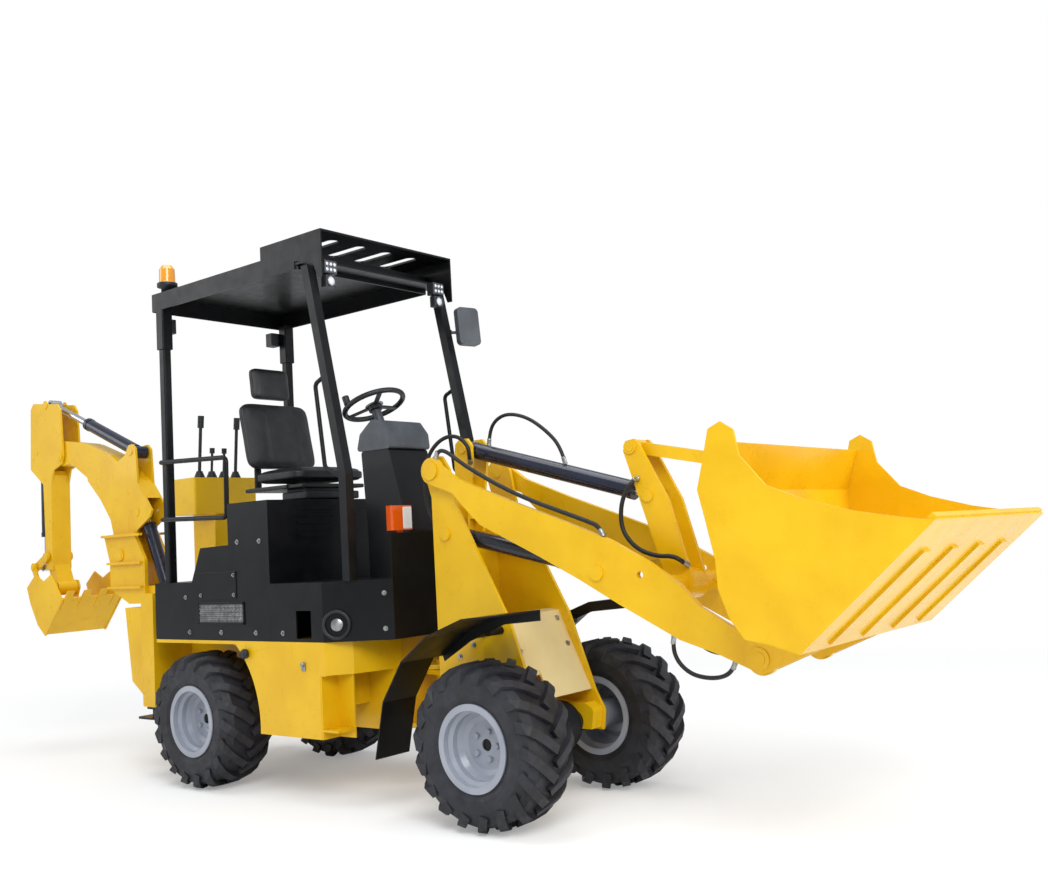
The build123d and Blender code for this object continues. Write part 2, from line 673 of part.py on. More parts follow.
def ribbon(points, thickness):
    """Closed outline of a bent plate: points on one face, thickness to the right of the way along."""
    inner = []
    for index, point in enumerate(points):
        before = points[max(index - 1, 0)]
        after = points[min(index + 1, len(points) - 1)]
        first = (point[0] - before[0], point[1] - before[1]) if index else (after[0] - point[0], after[1] - point[1])
        second = (after[0] - point[0], after[1] - point[1]) if index < len(points) - 1 else first
        first_length = hypot(*first)
        second_length = hypot(*second)
        normal_a = (first[1] / first_length, -first[0] / first_length)
        normal_b = (second[1] / second_length, -second[0] / second_length)
        reach = thickness / (1 + normal_a[0] * normal_b[0] + normal_a[1] * normal_b[1])
        inner.append((point[0] + (normal_a[0] + normal_b[0]) * reach,
                      point[1] + (normal_a[1] + normal_b[1]) * reach))
    return points + inner[::-1]


def cylinder_barrel(start, end, y, eye_half, radius, bore, rod, eye_radius, fit):
    """Barrel from its eye at start to its gland at end, hollow for the rod."""
    eye(start, eye_radius, pin_radius + fit, y - eye_half, y + eye_half)
    foot = along(start, end, eye_radius - 4)
    floor = along(start, end, eye_radius + 14)
    gland = along(end, start, 28)
    bar(foot, end, radius, y)
    bar(gland, end, radius + 3, y)
    bar(floor, gland, bore, y, Mode.SUBTRACT)
    bar(floor, along(end, start, -2), rod + fit, y, Mode.SUBTRACT)
    cross_round(start[0], start[1], pin_radius + fit, y - eye_half - 1, y + eye_half + 1, Mode.SUBTRACT)


def cylinder_rod(start, end, y, eye_half, radius, piston, eye_radius):
    """Rod from its piston at start to its eye at end."""
    bar(start, along(end, start, eye_radius - 4), radius, y)
    bar(start, along(start, end, 24), piston, y)
    eye(end, eye_radius, pin_radius + 1, y - eye_half, y + eye_half)


# Front frame: tower sides, cross plates, pins for the loader and lugs for the articulation
arm_pivot = (arm_pivot_x, arm_pivot_z)
arm_pin_radius = 26
lift_base = (-380, 1165)
lift_tip = (436, 979)
lift_y = 150
tilt_base = (-394, 1543)
tower_inner_y = tower_outer_y - tower_plate
pin_fit = 0.05
lug_radius = 80
front_lug_upper = (536, 558)
front_lug_lower = (322, 344)
with BuildPart() as front_chassis:
    slab_pair([(-455, 290), (-455, 1330), (-478, 1400), (-478, 1470), (-440, 1508), (-385, 1508),
               (-345, 1450), (-314, 1289), (-187, 1048), (-50, 795), (69, 456), (112, 373), (100, 290)],
              tower_inner_y, tower_outer_y)
    block(-455, -443, -tower_inner_y, tower_inner_y, 300, 1290)
    block(-450, -405, -tower_inner_y, tower_inner_y, 1230, 1246)
    slab([(-443, 300), (90, 300), (104, 373), (98, 390), (60, 410), (-443, 410)],
         -tower_inner_y, tower_inner_y)
    slab_pair([(-450, 1170), (-450, 1500), (-440, 1570), (-415, 1590), (-370, 1590), (-345, 1560),
               (-345, 1500), (-380, 1300), (-390, 1170)], 44, 60)
    block(-450, -425, -60, 60, 1290, 1420)
    for z_low, z_high in (front_lug_upper, front_lug_lower):
        with BuildSketch(level(z_low)) as plate:
            with BuildLine():
                Polyline((-450, -140), (pivot_x, -lug_radius), (pivot_x, lug_radius), (-450, 140), close=True)
            make_face()
            with Locations((pivot_x, 0)):
                Circle(lug_radius)
                Circle(pivot_pin + pin_fit, mode=Mode.SUBTRACT)
        extrude(plate.sketch, amount=z_high - z_low)
    block(-540, -450, -10, 10, front_lug_lower[1], front_lug_upper[0])
    cross_round(0, tyre_radius, axle_radius + running_gap, -tower_outer_y - 1, tower_outer_y + 1, Mode.SUBTRACT)
    block(-140, 140, -130, 130, 200, 432, Mode.SUBTRACT)
    cross_pair(arm_pivot_x, arm_pivot_z, arm_pin_radius, tower_inner_y - 4, arm_outer_y + 7)
    cross_pair(arm_pivot_x, arm_pivot_z, arm_pin_radius + 14, arm_outer_y + 1, arm_outer_y + 9)
    slab_pair([(-450, 1120), (-450, 1212), (-375, 1204), (-343, 1165), (-375, 1126)], 98, 111)
    cross_pair(lift_base[0], lift_base[1], pin_radius, 98, tower_outer_y + 9)
    cross_pair(lift_base[0], lift_base[1], pin_radius + 9, tower_outer_y, tower_outer_y + 9)
    cross_round(tilt_base[0], tilt_base[1], pin_radius, -70, 70)
save(front_chassis.part, "front_chassis")

with BuildPart() as tower_cover:
    slab([(-150, 812), (-104, 804), (53, 462), (45, 458), (-110, 797), (-150, 804)],
         -tower_inner_y + running_gap, tower_inner_y - running_gap)
    slab([(0, 600), (60, 600), (60, 520), (0, 520)], -172, -92, Mode.SUBTRACT)
save(tower_cover.part, "tower_cover")

fender_line = [(186, 844), (-9, 829), (-203, 761), (-351, 657), (-467, 490), (-524, 253)]
with BuildPart() as fenders:
    slab_pair(ribbon(fender_line[:4], -6), 300, 555)
    slab_pair(ribbon(fender_line[3:], -6), 362, 555)
    slab_pair([(186, 844), (-9, 829), (-203, 761), (-351, 657), (-340, 630), (-190, 715), (0, 785), (186, 800)],
              300, 306)
    cross_pair(-190, 740, 17, tower_outer_y + running_gap, 302)
    cross_pair(-95, 752, 17, tower_outer_y + running_gap, 302)
save(fenders.part, "fenders")

# Loader arms, tied by the cross tube that the tilt lever turns on
bucket_pin = (bucket_pin_x, bucket_pin_z)
lever_base = (690, 920)
lever_top = (500, 1468)
tilt_tip = (569, 1270)
link_tip = (1082, 1340)
cross_tube_radius = 38
bucket_pin_radius = 24
arm_inner_y = arm_outer_y - arm_plate
with BuildPart() as loader_arms:
    slab_pair([(-440, 1390), (-415, 1500), (-278, 1403), (-32, 1305), (273, 1193), (507, 1103), (681, 1010),
               (804, 926), (881, 846), (1035, 758), (1112, 728), (1112, 610), (949, 676), (788, 727),
               (534, 856), (353, 954), (161, 1050), (-150, 1195), (-257, 1294), (-300, 1340)],
              arm_inner_y, arm_outer_y)
    cross_pair(arm_pivot_x, arm_pivot_z, 58, arm_inner_y, arm_outer_y)
    cross_pair(arm_pivot_x, arm_pivot_z, arm_pin_radius + pin_fit, arm_inner_y - 1, arm_outer_y + 1, Mode.SUBTRACT)
    cross_pair(bucket_pin_x, bucket_pin_z, 60, arm_inner_y, arm_outer_y)
    cross_pair(bucket_pin_x, bucket_pin_z, bucket_pin_radius + pin_fit, arm_inner_y - 1, arm_outer_y + 1,
               Mode.SUBTRACT)
    cross_pair(633, 967, 14, arm_inner_y - 1, arm_outer_y + 1, Mode.SUBTRACT)
    cross_round(lever_base[0], lever_base[1], cross_tube_radius, -arm_inner_y, arm_inner_y)
    cross_pair(lift_tip[0], lift_tip[1], 34, 190, arm_inner_y)
    cross_pair(lift_tip[0], lift_tip[1], 30, arm_outer_y, arm_outer_y + 8)
save(loader_arms.part, "loader_arms")

# Lift cylinders, one on each side
with BuildPart() as lift_barrels:
    for hand in (-1, 1):
        cylinder_barrel(lift_base, along(lift_base, lift_tip, 610), hand * lift_y, 32, 35, 27, 20, 36, pin_fit)
save(lift_barrels.part, "lift_barrels")
with BuildPart() as lift_rods:
    for hand in (-1, 1):
        cylinder_rod(along(lift_tip, lift_base, 565), lift_tip, hand * lift_y, 32, 20, 26.9, 32)
save(lift_rods.part, "lift_rods")

# Tilt cylinder, lever and link
with BuildPart() as tilt_barrel:
    cylinder_barrel(tilt_base, along(tilt_base, tilt_tip, 905), 0, 38, 37, 28, 21, 36, pin_fit)
save(tilt_barrel.part, "tilt_barrel")
with BuildPart() as tilt_rod:
    cylinder_rod(along(tilt_tip, tilt_base, 730), tilt_tip, 0, 30, 21, 27.9, 32)
save(tilt_rod.part, "tilt_rod")
with BuildPart() as tilt_lever:
    eye(lever_base, 60, cross_tube_radius + pin_fit, -60, 60)
    slab_pair([(636, 925), (744, 945), (660, 1250), (540, 1478), (520, 1500), (478, 1494), (466, 1455),
               (535, 1240)], 44, 60)
    cross_round(lever_base[0], lever_base[1], cross_tube_radius + pin_fit, -61, 61, Mode.SUBTRACT)
    cross_round(lever_top[0], lever_top[1], pin_radius, -68, 68)
    cross_pair(lever_top[0], lever_top[1], 28, 60, 66)
    cross_pair(tilt_tip[0], tilt_tip[1], 26, 60, 67)
save(tilt_lever.part, "tilt_lever")
with BuildPart() as tilt_link:
    link_neck = along(lever_top, link_tip, 26)
    link_head = along(link_tip, lever_top, 26)
    link_turn = radians(turn(lever_top, link_tip))
    drop = (-sin(link_turn) * 24, cos(link_turn) * 24)
    slab([(link_neck[0] + drop[0], link_neck[1] + drop[1]), (link_head[0] + drop[0], link_head[1] + drop[1]),
          (link_head[0] - drop[0], link_head[1] - drop[1]), (link_neck[0] - drop[0], link_neck[1] - drop[1])],
         -20, 20)
    cross_round(lever_top[0], lever_top[1], 32, -30, 30)
    cross_round(lever_top[0], lever_top[1], pin_radius + pin_fit, -31, 31, Mode.SUBTRACT)
    eye(link_tip, 28, pin_radius + 1, -24, 24)
save(tilt_link.part, "tilt_link")

# Loader bucket: side plates, a bent shell, cutting edge, hinge lugs and wear straps
bucket_side = [(1195, 1470), (1240, 1440), (1255, 1355), (1341, 1252), (1456, 1203), (1612, 1157), (1761, 1128),
               (1861, 1114), (1416, 724), (1318, 753), (1232, 768), (1184, 830), (1148, 927), (1145, 1023),
               (1118, 1154), (1096, 1254), (1128, 1366), (1150, 1450)]
bucket_shell = [(1172, 1410), (1156, 1366), (1117, 1254), (1124, 1154), (1145, 1023), (1148, 927), (1184, 830),
                (1232, 768), (1318, 753), (1416, 724), (1861, 1114)]
with BuildPart() as loader_bucket:
    slab_pair(bucket_side, bucket_half - 12, bucket_half)
    slab(ribbon(bucket_shell, -bucket_plate), -bucket_half + 12, bucket_half - 12)
    slab([(1700, 984), (1861, 1125), (1850, 1137), (1688, 996)], -bucket_half + 12, bucket_half - 12)
    for hand in (-1, 1):
        for lug_y in (212, 264.5):
            low, high = sorted((hand * (lug_y - 6.5), hand * (lug_y + 6.5)))
            slab([(1112, 612), (1060, 650), (1062, 700), (1130, 900), (1146, 1010), (1152, 927), (1188, 832),
                  (1236, 770), (1322, 755), (1400, 731), (1160, 630)], low, high)
        low, high = sorted((hand * 205.5, hand * 278))
        cross_round(bucket_pin_x, bucket_pin_z, bucket_pin_radius, low, high)
        cross_round(bucket_pin_x, bucket_pin_z, 40, *sorted((hand * 271, hand * 276)))
        low, high = sorted((hand * 31, hand * 47))
        slab([(1062, 1310), (1052, 1345), (1072, 1374), (1112, 1398), (1170, 1398), (1160, 1366),
              (1121, 1254), (1124, 1220)], low, high)
        cross_round(link_tip[0], link_tip[1], 24, *sorted((hand * 47, hand * 54)))
    for strap_y in (-400, -135, 135, 400):
        slab(ribbon([along(bucket_shell[-2], bucket_shell[-1], 32), along(bucket_shell[-2], bucket_shell[-1], 460)], 10),
             strap_y - 30, strap_y + 30)
save(loader_bucket.part, "loader_bucket")

# Hoe: swing post on the kingpin
boom_pin = (boom_pin_x, boom_pin_z)
dipper_pin = (dipper_pin_x, dipper_pin_z)
hoe_pin = (hoe_pin_x, hoe_pin_z)
boom_cyl_base = (-2580, 945)
boom_cyl_tip = (-2790, 1405)
dipper_cyl_base = (-2837, 1754)
dipper_cyl_tip = (-3776, 2140)


def hoe_slab(outline, low, high, mode=Mode.ADD, corner=0):
    """Plate about the hoe's own centre plane."""
    slab(outline, hoe_y + low, hoe_y + high, mode, corner)


def hoe_pair(outline, low, high, mode=Mode.ADD, corner=0):
    """The same plate on both sides of the hoe's centre plane."""
    hoe_slab(outline, low, high, mode, corner)
    hoe_slab(outline, -high, -low, mode, corner)


def hoe_round(place, radius, low, high, mode=Mode.ADD):
    """Round bar across the hoe, on both sides of its centre plane."""
    cross_round(place[0], place[1], radius, hoe_y + low, hoe_y + high, mode)
    cross_round(place[0], place[1], radius, hoe_y - high, hoe_y - low, mode)


hoe_pin_half = 22
kingpin_top = 972
with BuildPart() as swing_post:
    block(-2800, -2684, hoe_y - 82, hoe_y + 82, tower_top + 22, 982)
    upright(kingpin_x, hoe_y, 60, tower_top + 8.5, 982)
    hoe_pair([(-2684, 884), (-2684, 1130), (-2790, 1290), (-3099, 1282), (-3041, 1123), (-3037, 968), (-2848, 884)],
             62, 82)
    for z_top, x_rear in ((1282, -3096), (1123, -3041), (984, -3037)):
        for hand in (-1, 1):
            low, high = sorted((hoe_y + hand * 82, hoe_y + hand * 104))
            deck([(x_rear, low), (-2815, low), (-2700, low), (-2700, high), (-2815, high), (x_rear, high)],
                 z_top - 14, z_top)
    block(-3037, -2800, hoe_y - 82, hoe_y + 82, 968, 982)
    hoe_pair([(-2690, 890), (-2690, 980), (-2590, 984), (-2548, 962), (-2544, 930), (-2580, 908)], 44, 60)
    block(-2690, -2640, hoe_y - 82, hoe_y + 82, 884, 900)
    upright(kingpin_x, hoe_y, kingpin_radius + pin_fit, tower_top, kingpin_top + 4, Mode.SUBTRACT)
    cross_round(boom_pin_x, boom_pin_z, hoe_pin_half, hoe_y - 92, hoe_y + 92)
    hoe_round(boom_pin, 34, 82, 90)
    cross_round(boom_cyl_base[0], boom_cyl_base[1], pin_radius, hoe_y - 68, hoe_y + 68)
save(swing_post.part, "swing_post")

# Boom with its narrow tip inside the dipper's head
boom_outline = [(-2955, 1115), (-2983, 1165), (-3037, 1284), (-3066, 1374), (-3169, 1498), (-3331, 1642),
                (-3524, 1750), (-3625, 1738), (-3685, 1800), (-3655, 1855), (-3600, 1893), (-3330, 1853),
                (-3049, 1756), (-2793, 1588), (-2640, 1407), (-2662, 1370), (-2790, 1300), (-2866, 1165),
                (-2895, 1115)]
with BuildPart() as boom:
    hoe_slab(boom_outline, -56, 56)
    hoe_pair([(-3800, 1600), (-3310, 1600), (-3310, 2000), (-3800, 2000)], 44, 60, Mode.SUBTRACT)
    cross_round(boom_pin_x, boom_pin_z, 58, hoe_y - 56, hoe_y + 56)
    hoe_slab([(-2600, 1300), (-2600, 1400), (-2700, 1480), (-2815, 1480), (-2905, 1400), (-2905, 1270),
              (-2893, 1178), (-2914, 1098), (-2760, 1098)], -44, 44, Mode.SUBTRACT)
    cross_round(boom_pin_x, boom_pin_z, hoe_pin_half + pin_fit, hoe_y - 57, hoe_y + 57, Mode.SUBTRACT)
    cross_round(dipper_pin_x, dipper_pin_z, hoe_pin_half + pin_fit, hoe_y - 57, hoe_y + 57, Mode.SUBTRACT)
    hoe_round(boom_cyl_tip, 26, 56, 60)
    hoe_pair([(-2775, 1560), (-2790, 1770), (-2820, 1798), (-2860, 1796), (-2900, 1740), (-3000, 1700)], 44, 56)
    cross_round(dipper_cyl_base[0], dipper_cyl_base[1], pin_radius, hoe_y - 62, hoe_y + 62)
save(boom.part, "boom")

# Dipper: box section, head plates about the boom's tip and the bucket cylinder's lugs
bucket_cyl_base = (-3900, 1850)
rocker_pin = (-3777, 1180)
rocker_tip = (-3900, 1120)
hoe_link_tip = (-3790, 925)
with BuildPart() as dipper:
    hoe_pair([(-3966, 2131), (-3930, 2165), (-3640, 2130), (-3606, 2089), (-3580, 1800), (-3600, 1752),
              (-3700, 1720), (-3727, 1640), (-3827, 1640), (-3979, 1744)], 50, 62)
    hoe_slab([(-3827, 1720), (-3750, 1720), (-3727, 1690), (-3727, 1130), (-3665, 1000), (-3672, 950), (-3720, 940),
              (-3748, 975), (-3802, 1130)], -50, 50)
    hoe_pair([(-3827, 1700), (-3727, 1700), (-3727, 1100), (-3802, 1100)], 50, 62)
    cross_round(hoe_pin_x, hoe_pin_z, 46, hoe_y - 62, hoe_y + 62)
    cross_round(hoe_pin_x, hoe_pin_z, hoe_pin_half + pin_fit, hoe_y - 63, hoe_y + 63, Mode.SUBTRACT)
    cross_round(dipper_pin_x, dipper_pin_z, hoe_pin_half, hoe_y - 70, hoe_y + 70)
    hoe_round(dipper_pin, 36, 62, 68)
    hoe_round(dipper_cyl_tip, 26, 62, 68)
    cross_round(bucket_cyl_base[0], bucket_cyl_base[1], pin_radius, hoe_y - 66, hoe_y + 66)
    cross_round(rocker_pin[0], rocker_pin[1], pin_radius, hoe_y - 84, hoe_y + 84)
    hoe_round(rocker_pin, 28, 80.5, 86)
save(dipper.part, "dipper")

# Hoe bucket: curled shell with straps and teeth
hoe_side = [(-3784, 997), (-3745, 900), (-3660, 770), (-3577, 707), (-3371, 920), (-3504, 1070), (-3590, 1030),
            (-3683, 1075)]
with BuildPart() as hoe_bucket:
    hoe_pair(hoe_side, hoe_bucket_half - 10, hoe_bucket_half)
    hoe_slab(ribbon([(-3711, 895), (-3650, 776), (-3577, 714), (-3371, 926)], -9),
             -hoe_bucket_half + 10, hoe_bucket_half - 10)
    for tooth in (-160, -54, 54, 160):
        hoe_slab([(-3430, 860), (-3371, 920), (-3330, 968), (-3340, 970), (-3385, 925), (-3440, 872)],
                 tooth - 22, tooth + 22)
    hoe_pair([(-3745, 985), (-3712, 1030), (-3670, 1025), (-3655, 985), (-3690, 900), (-3705, 850), (-3770, 897),
              (-3818, 920), (-3800, 950)], 68, 80)
    cross_round(hoe_pin_x, hoe_pin_z, hoe_pin_half, hoe_y - 88, hoe_y + 88)
    hoe_round(hoe_pin, 34, 80, 86)
    hoe_slab([(-3706, 893), (-3770, 897), (-3705, 850), (-3686, 846)], -80, 80)
save(hoe_bucket.part, "hoe_bucket")

# Hoe cylinders
with BuildPart() as boom_cylinder_barrel:
    cylinder_barrel(boom_cyl_base, along(boom_cyl_base, boom_cyl_tip, 420), hoe_y, 38, 36, 28, 20, 36, pin_fit)
save(boom_cylinder_barrel.part, "boom_cylinder_barrel")
with BuildPart() as boom_cylinder_rod:
    cylinder_rod(along(boom_cyl_tip, boom_cyl_base, 330), boom_cyl_tip, hoe_y, 34, 20, 27.9, 30)
save(boom_cylinder_rod.part, "boom_cylinder_rod")
with BuildPart() as dipper_cylinder_barrel:
    cylinder_barrel(dipper_cyl_base, along(dipper_cyl_base, dipper_cyl_tip, 588), hoe_y, 38, 36, 28, 20, 36, pin_fit)
save(dipper_cylinder_barrel.part, "dipper_cylinder_barrel")
with BuildPart() as dipper_cylinder_rod:
    cylinder_rod(along(dipper_cyl_tip, dipper_cyl_base, 545), dipper_cyl_tip, hoe_y, 34, 20, 27.9, 32)
save(dipper_cylinder_rod.part, "dipper_cylinder_rod")
with BuildPart() as bucket_cylinder_barrel:
    cylinder_barrel(bucket_cyl_base, along(bucket_cyl_base, rocker_tip, 540), hoe_y, 38, 33, 25, 18, 34, pin_fit)
save(bucket_cylinder_barrel.part, "bucket_cylinder_barrel")
with BuildPart() as bucket_cylinder_rod:
    cylinder_rod(along(rocker_tip, bucket_cyl_base, 520), rocker_tip, hoe_y, 34, 18, 24.9, 28)
save(bucket_cylinder_rod.part, "bucket_cylinder_rod")

# Rocker and link between the bucket cylinder and the hoe bucket
with BuildPart() as hoe_rocker:
    rocker_dir = radians(turn(rocker_pin, rocker_tip))
    across = (-sin(rocker_dir) * 24, cos(rocker_dir) * 24)
    hoe_pair([(rocker_pin[0] + across[0], rocker_pin[1] + across[1]),
              (rocker_tip[0] + across[0], rocker_tip[1] + across[1]),
              (rocker_tip[0] - across[0], rocker_tip[1] - across[1]),
              (rocker_pin[0] - across[0], rocker_pin[1] - across[1])], 68, 80)
    hoe_round(rocker_pin, 28, 68, 80)
    hoe_round(rocker_tip, 28, 68, 80)
    hoe_round(rocker_pin, pin_radius + pin_fit, 67, 81, Mode.SUBTRACT)
    hoe_round(rocker_tip, pin_radius, 42, 104)
save(hoe_rocker.part, "hoe_rocker")
with BuildPart() as hoe_link:
    link_dir = radians(turn(rocker_tip, hoe_link_tip))
    across = (-sin(link_dir) * 20, cos(link_dir) * 20)
    hoe_pair([(rocker_tip[0] + across[0], rocker_tip[1] + across[1]),
              (hoe_link_tip[0] + across[0], hoe_link_tip[1] + across[1]),
              (hoe_link_tip[0] - across[0], hoe_link_tip[1] - across[1]),
              (rocker_tip[0] - across[0], rocker_tip[1] - across[1])], 88, 100)
    hoe_round(rocker_tip, 26, 88, 100)
    hoe_round(hoe_link_tip, 26, 88, 100)
    hoe_round(rocker_tip, pin_radius + pin_fit, 87, 101, Mode.SUBTRACT)
save(hoe_link.part, "hoe_link")
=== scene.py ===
"""Studio scene of a small articulated backhoe loader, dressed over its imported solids."""

from math import cos, pi, radians, sin

import bmesh
import bpy
from bpy.props import FloatProperty, FloatVectorProperty, PointerProperty
from mathutils import Matrix, Vector


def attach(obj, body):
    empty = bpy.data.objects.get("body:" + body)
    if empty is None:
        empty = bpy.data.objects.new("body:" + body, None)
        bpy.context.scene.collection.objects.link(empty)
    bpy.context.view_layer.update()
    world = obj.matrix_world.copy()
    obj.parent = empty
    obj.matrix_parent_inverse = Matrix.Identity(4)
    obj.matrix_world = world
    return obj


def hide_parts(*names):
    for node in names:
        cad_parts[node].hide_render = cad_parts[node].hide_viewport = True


bl_info = {
    "name": "Backhoe loader studio",
    "version": (1, 0, 0),
    "blender": (4, 5, 0),
    "location": "View3D > Sidebar > Backhoe loader",
    "description": "Dresses a small backhoe loader and sets it in a pale studio",
    "category": "Object",
}

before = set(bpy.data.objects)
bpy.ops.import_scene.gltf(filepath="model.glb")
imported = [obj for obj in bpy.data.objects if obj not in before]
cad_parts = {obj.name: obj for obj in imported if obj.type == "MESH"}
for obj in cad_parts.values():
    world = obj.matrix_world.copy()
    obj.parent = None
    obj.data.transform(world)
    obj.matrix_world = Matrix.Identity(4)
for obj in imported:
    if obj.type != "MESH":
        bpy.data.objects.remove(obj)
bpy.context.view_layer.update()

# The front axle lies this far ahead of the origin, in metres
FRONT_AXLE = 1.065
WHEELS = ("front_left", "front_right", "rear_left", "rear_right")


# Colour, nodes and meshes

def srgb(code):
    """Linear colour of an sRGB hex value such as #E8A90C."""
    values = [int(code[i:i + 2], 16) / 255 for i in (1, 3, 5)]
    return tuple(v / 12.92 if v <= 0.04045 else ((v + 0.055) / 1.055) ** 2.4 for v in values) + (1.0,)


def add_node(tree, kind, inputs=None, **settings):
    """Add a node, set its properties, and set or link its inputs."""
    node = tree.nodes.new(kind)
    for name, value in settings.items():
        setattr(node, name, value)
    for name, value in (inputs or {}).items():
        if isinstance(value, bpy.types.NodeSocket):
            tree.links.new(value, node.inputs[name])
        else:
            node.inputs[name].default_value = value
    return node


def new_material(name):
    """Empty node material with its output, and the object's own coordinates."""
    material = bpy.data.materials.new(name)
    material.use_nodes = True
    tree = material.node_tree
    tree.nodes.clear()
    output = add_node(tree, "ShaderNodeOutputMaterial")
    coordinates = add_node(tree, "ShaderNodeTexCoord")
    return material, tree, output, coordinates.outputs["Object"]


def mottled(tree, place, dark, light, patch_mm, detail=3.0, low=0.35, high=0.65):
    """Colour that wanders between two close tones in patches of a real size."""
    noise = add_node(tree, "ShaderNodeTexNoise",
                     {"Vector": place, "Scale": 1000.0 / patch_mm, "Detail": detail, "Roughness": 0.55})
    ramp = add_node(tree, "ShaderNodeValToRGB", {"Fac": noise.outputs["Fac"]})
    ramp.color_ramp.elements[0].position = low
    ramp.color_ramp.elements[0].color = dark
    ramp.color_ramp.elements[1].position = high
    ramp.color_ramp.elements[1].color = light
    return ramp.outputs["Color"]


def varied(tree, place, low, high, patch_mm):
    """Number that wanders between two values in patches of a real size."""
    noise = add_node(tree, "ShaderNodeTexNoise",
                     {"Vector": place, "Scale": 1000.0 / patch_mm, "Detail": 3.0})
    spread = add_node(tree, "ShaderNodeMapRange", {"Value": noise.outputs["Fac"], "From Min": 0.3,
                                                    "From Max": 0.7, "To Min": low, "To Max": high})
    return spread.outputs["Result"]


def bumped(tree, height, strength, depth_mm):
    """Normal from a height, with the real depth in millimetres."""
    bump = add_node(tree, "ShaderNodeBump", {"Height": height, "Strength": strength,
                                             "Distance": depth_mm / 1000.0})
    return bump.outputs["Normal"]


def shaded(tree, output, settings):
    """Principled surface with these settings, joined to the output."""
    shader = add_node(tree, "ShaderNodeBsdfPrincipled", settings)
    tree.links.new(shader.outputs["BSDF"], output.inputs["Surface"])
    return shader


def painted_steel(name, dark, light, gloss, peel_mm=2.6, peel=0.12, coat=0.15, shine=0.32):
    """Sprayed two-pack enamel on steel plate: soft orange peel, a clear gloss and slight thin patches."""
    material, tree, output, place = new_material(name)
    peel_noise = add_node(tree, "ShaderNodeTexNoise",
                          {"Vector": place, "Scale": 1000.0 / peel_mm, "Detail": 2.0})
    # The plate itself is a little wavy over about 90 mm
    wave_noise = add_node(tree, "ShaderNodeTexNoise",
                          {"Vector": place, "Scale": 1000.0 / 90.0, "Detail": 2.0, "Roughness": 0.4})
    fine = bumped(tree, peel_noise.outputs["Fac"], peel, 0.12)
    plate = add_node(tree, "ShaderNodeBump", {"Height": wave_noise.outputs["Fac"], "Strength": 0.25,
                                              "Distance": 0.0015, "Normal": fine})
    shaded(tree, output, {
        "Base Color": mottled(tree, place, dark, light, 240.0),
        "Roughness": varied(tree, place, gloss - 0.05, gloss + 0.07, 60.0),
        "IOR": 1.5,
        "Specular IOR Level": shine,
        "Coat Weight": coat,
        "Coat Roughness": 0.08,
        "Normal": plate.outputs["Normal"],
    })
    return material


def moulded_plastic(name, dark, light, rough, grain_mm=0.9, grain=0.35):
    """Injection moulded plastic with a fine spark-eroded grain."""
    material, tree, output, place = new_material(name)
    cells = add_node(tree, "ShaderNodeTexVoronoi", {"Vector": place, "Scale": 1000.0 / grain_mm})
    shaded(tree, output, {
        "Base Color": mottled(tree, place, srgb(dark), srgb(light), 120.0),
        "Roughness": varied(tree, place, rough - 0.05, rough + 0.06, 35.0),
        "IOR": 1.49,
        "Normal": bumped(tree, cells.outputs["Distance"], grain, 0.08),
    })
    return material


def polished_rod(name):
    """Hard chrome plating ground round the rod: near mirror, with faint rings."""
    material, tree, output, place = new_material(name)
    rings = add_node(tree, "ShaderNodeTexNoise", {"Vector": place, "Scale": 900.0, "Detail": 1.0})
    shaded(tree, output, {
        "Base Color": mottled(tree, place, srgb("#C9CCD0"), srgb("#DEE0E2"), 80.0),
        "Metallic": 1.0,
        "Roughness": varied(tree, place, 0.10, 0.20, 25.0),
        "Normal": bumped(tree, rings.outputs["Fac"], 0.05, 0.02),
    })
    return material


def bare_metal(name, dark, light, low, high, grain_mm=1.4):
    """Zinc plate or milled steel: a dull metal with a fine broken grain."""
    material, tree, output, place = new_material(name)
    grain = add_node(tree, "ShaderNodeTexNoise",
                     {"Vector": place, "Scale": 1000.0 / grain_mm, "Detail": 4.0})
    shaded(tree, output, {
        "Base Color": mottled(tree, place, srgb(dark), srgb(light), 30.0),
        "Metallic": 1.0,
        "Roughness": varied(tree, place, low, high, 18.0),
        "Normal": bumped(tree, grain.outputs["Fac"], 0.2, 0.05),
    })
    return material


def tyre_rubber(name):
    """Moulded farm tyre rubber: blue-black, dull, with a little pale bloom in patches."""
    material, tree, output, place = new_material(name)
    grain = add_node(tree, "ShaderNodeTexNoise", {"Vector": place, "Scale": 1000.0 / 3.2, "Detail": 4.0})
    shaded(tree, output, {
        "Base Color": mottled(tree, place, srgb("#191A20"), srgb("#2A2B33"), 75.0, 5.0),
        "Roughness": varied(tree, place, 0.52, 0.72, 40.0),
        "IOR": 1.52,
        "Normal": bumped(tree, grain.outputs["Fac"], 0.3, 0.3),
    })
    return material


def clear_lens(name, tint, rough=0.08):
    """Moulded acrylic lens over a bright reflector, its flutes about 5 mm apart."""
    material, tree, output, place = new_material(name)
    flutes = add_node(tree, "ShaderNodeTexWave", {"Vector": place, "Scale": 1000.0 / 5.0 / 20.0,
                                                  "Distortion": 0.0}, bands_direction="Y")
    shaded(tree, output, {
        "Base Color": srgb(tint),
        "Roughness": rough,
        "IOR": 1.49,
        "Coat Weight": 1.0,
        "Coat Roughness": 0.03,
        "Normal": bumped(tree, flutes.outputs["Fac"], 0.35, 0.6),
    })
    return material


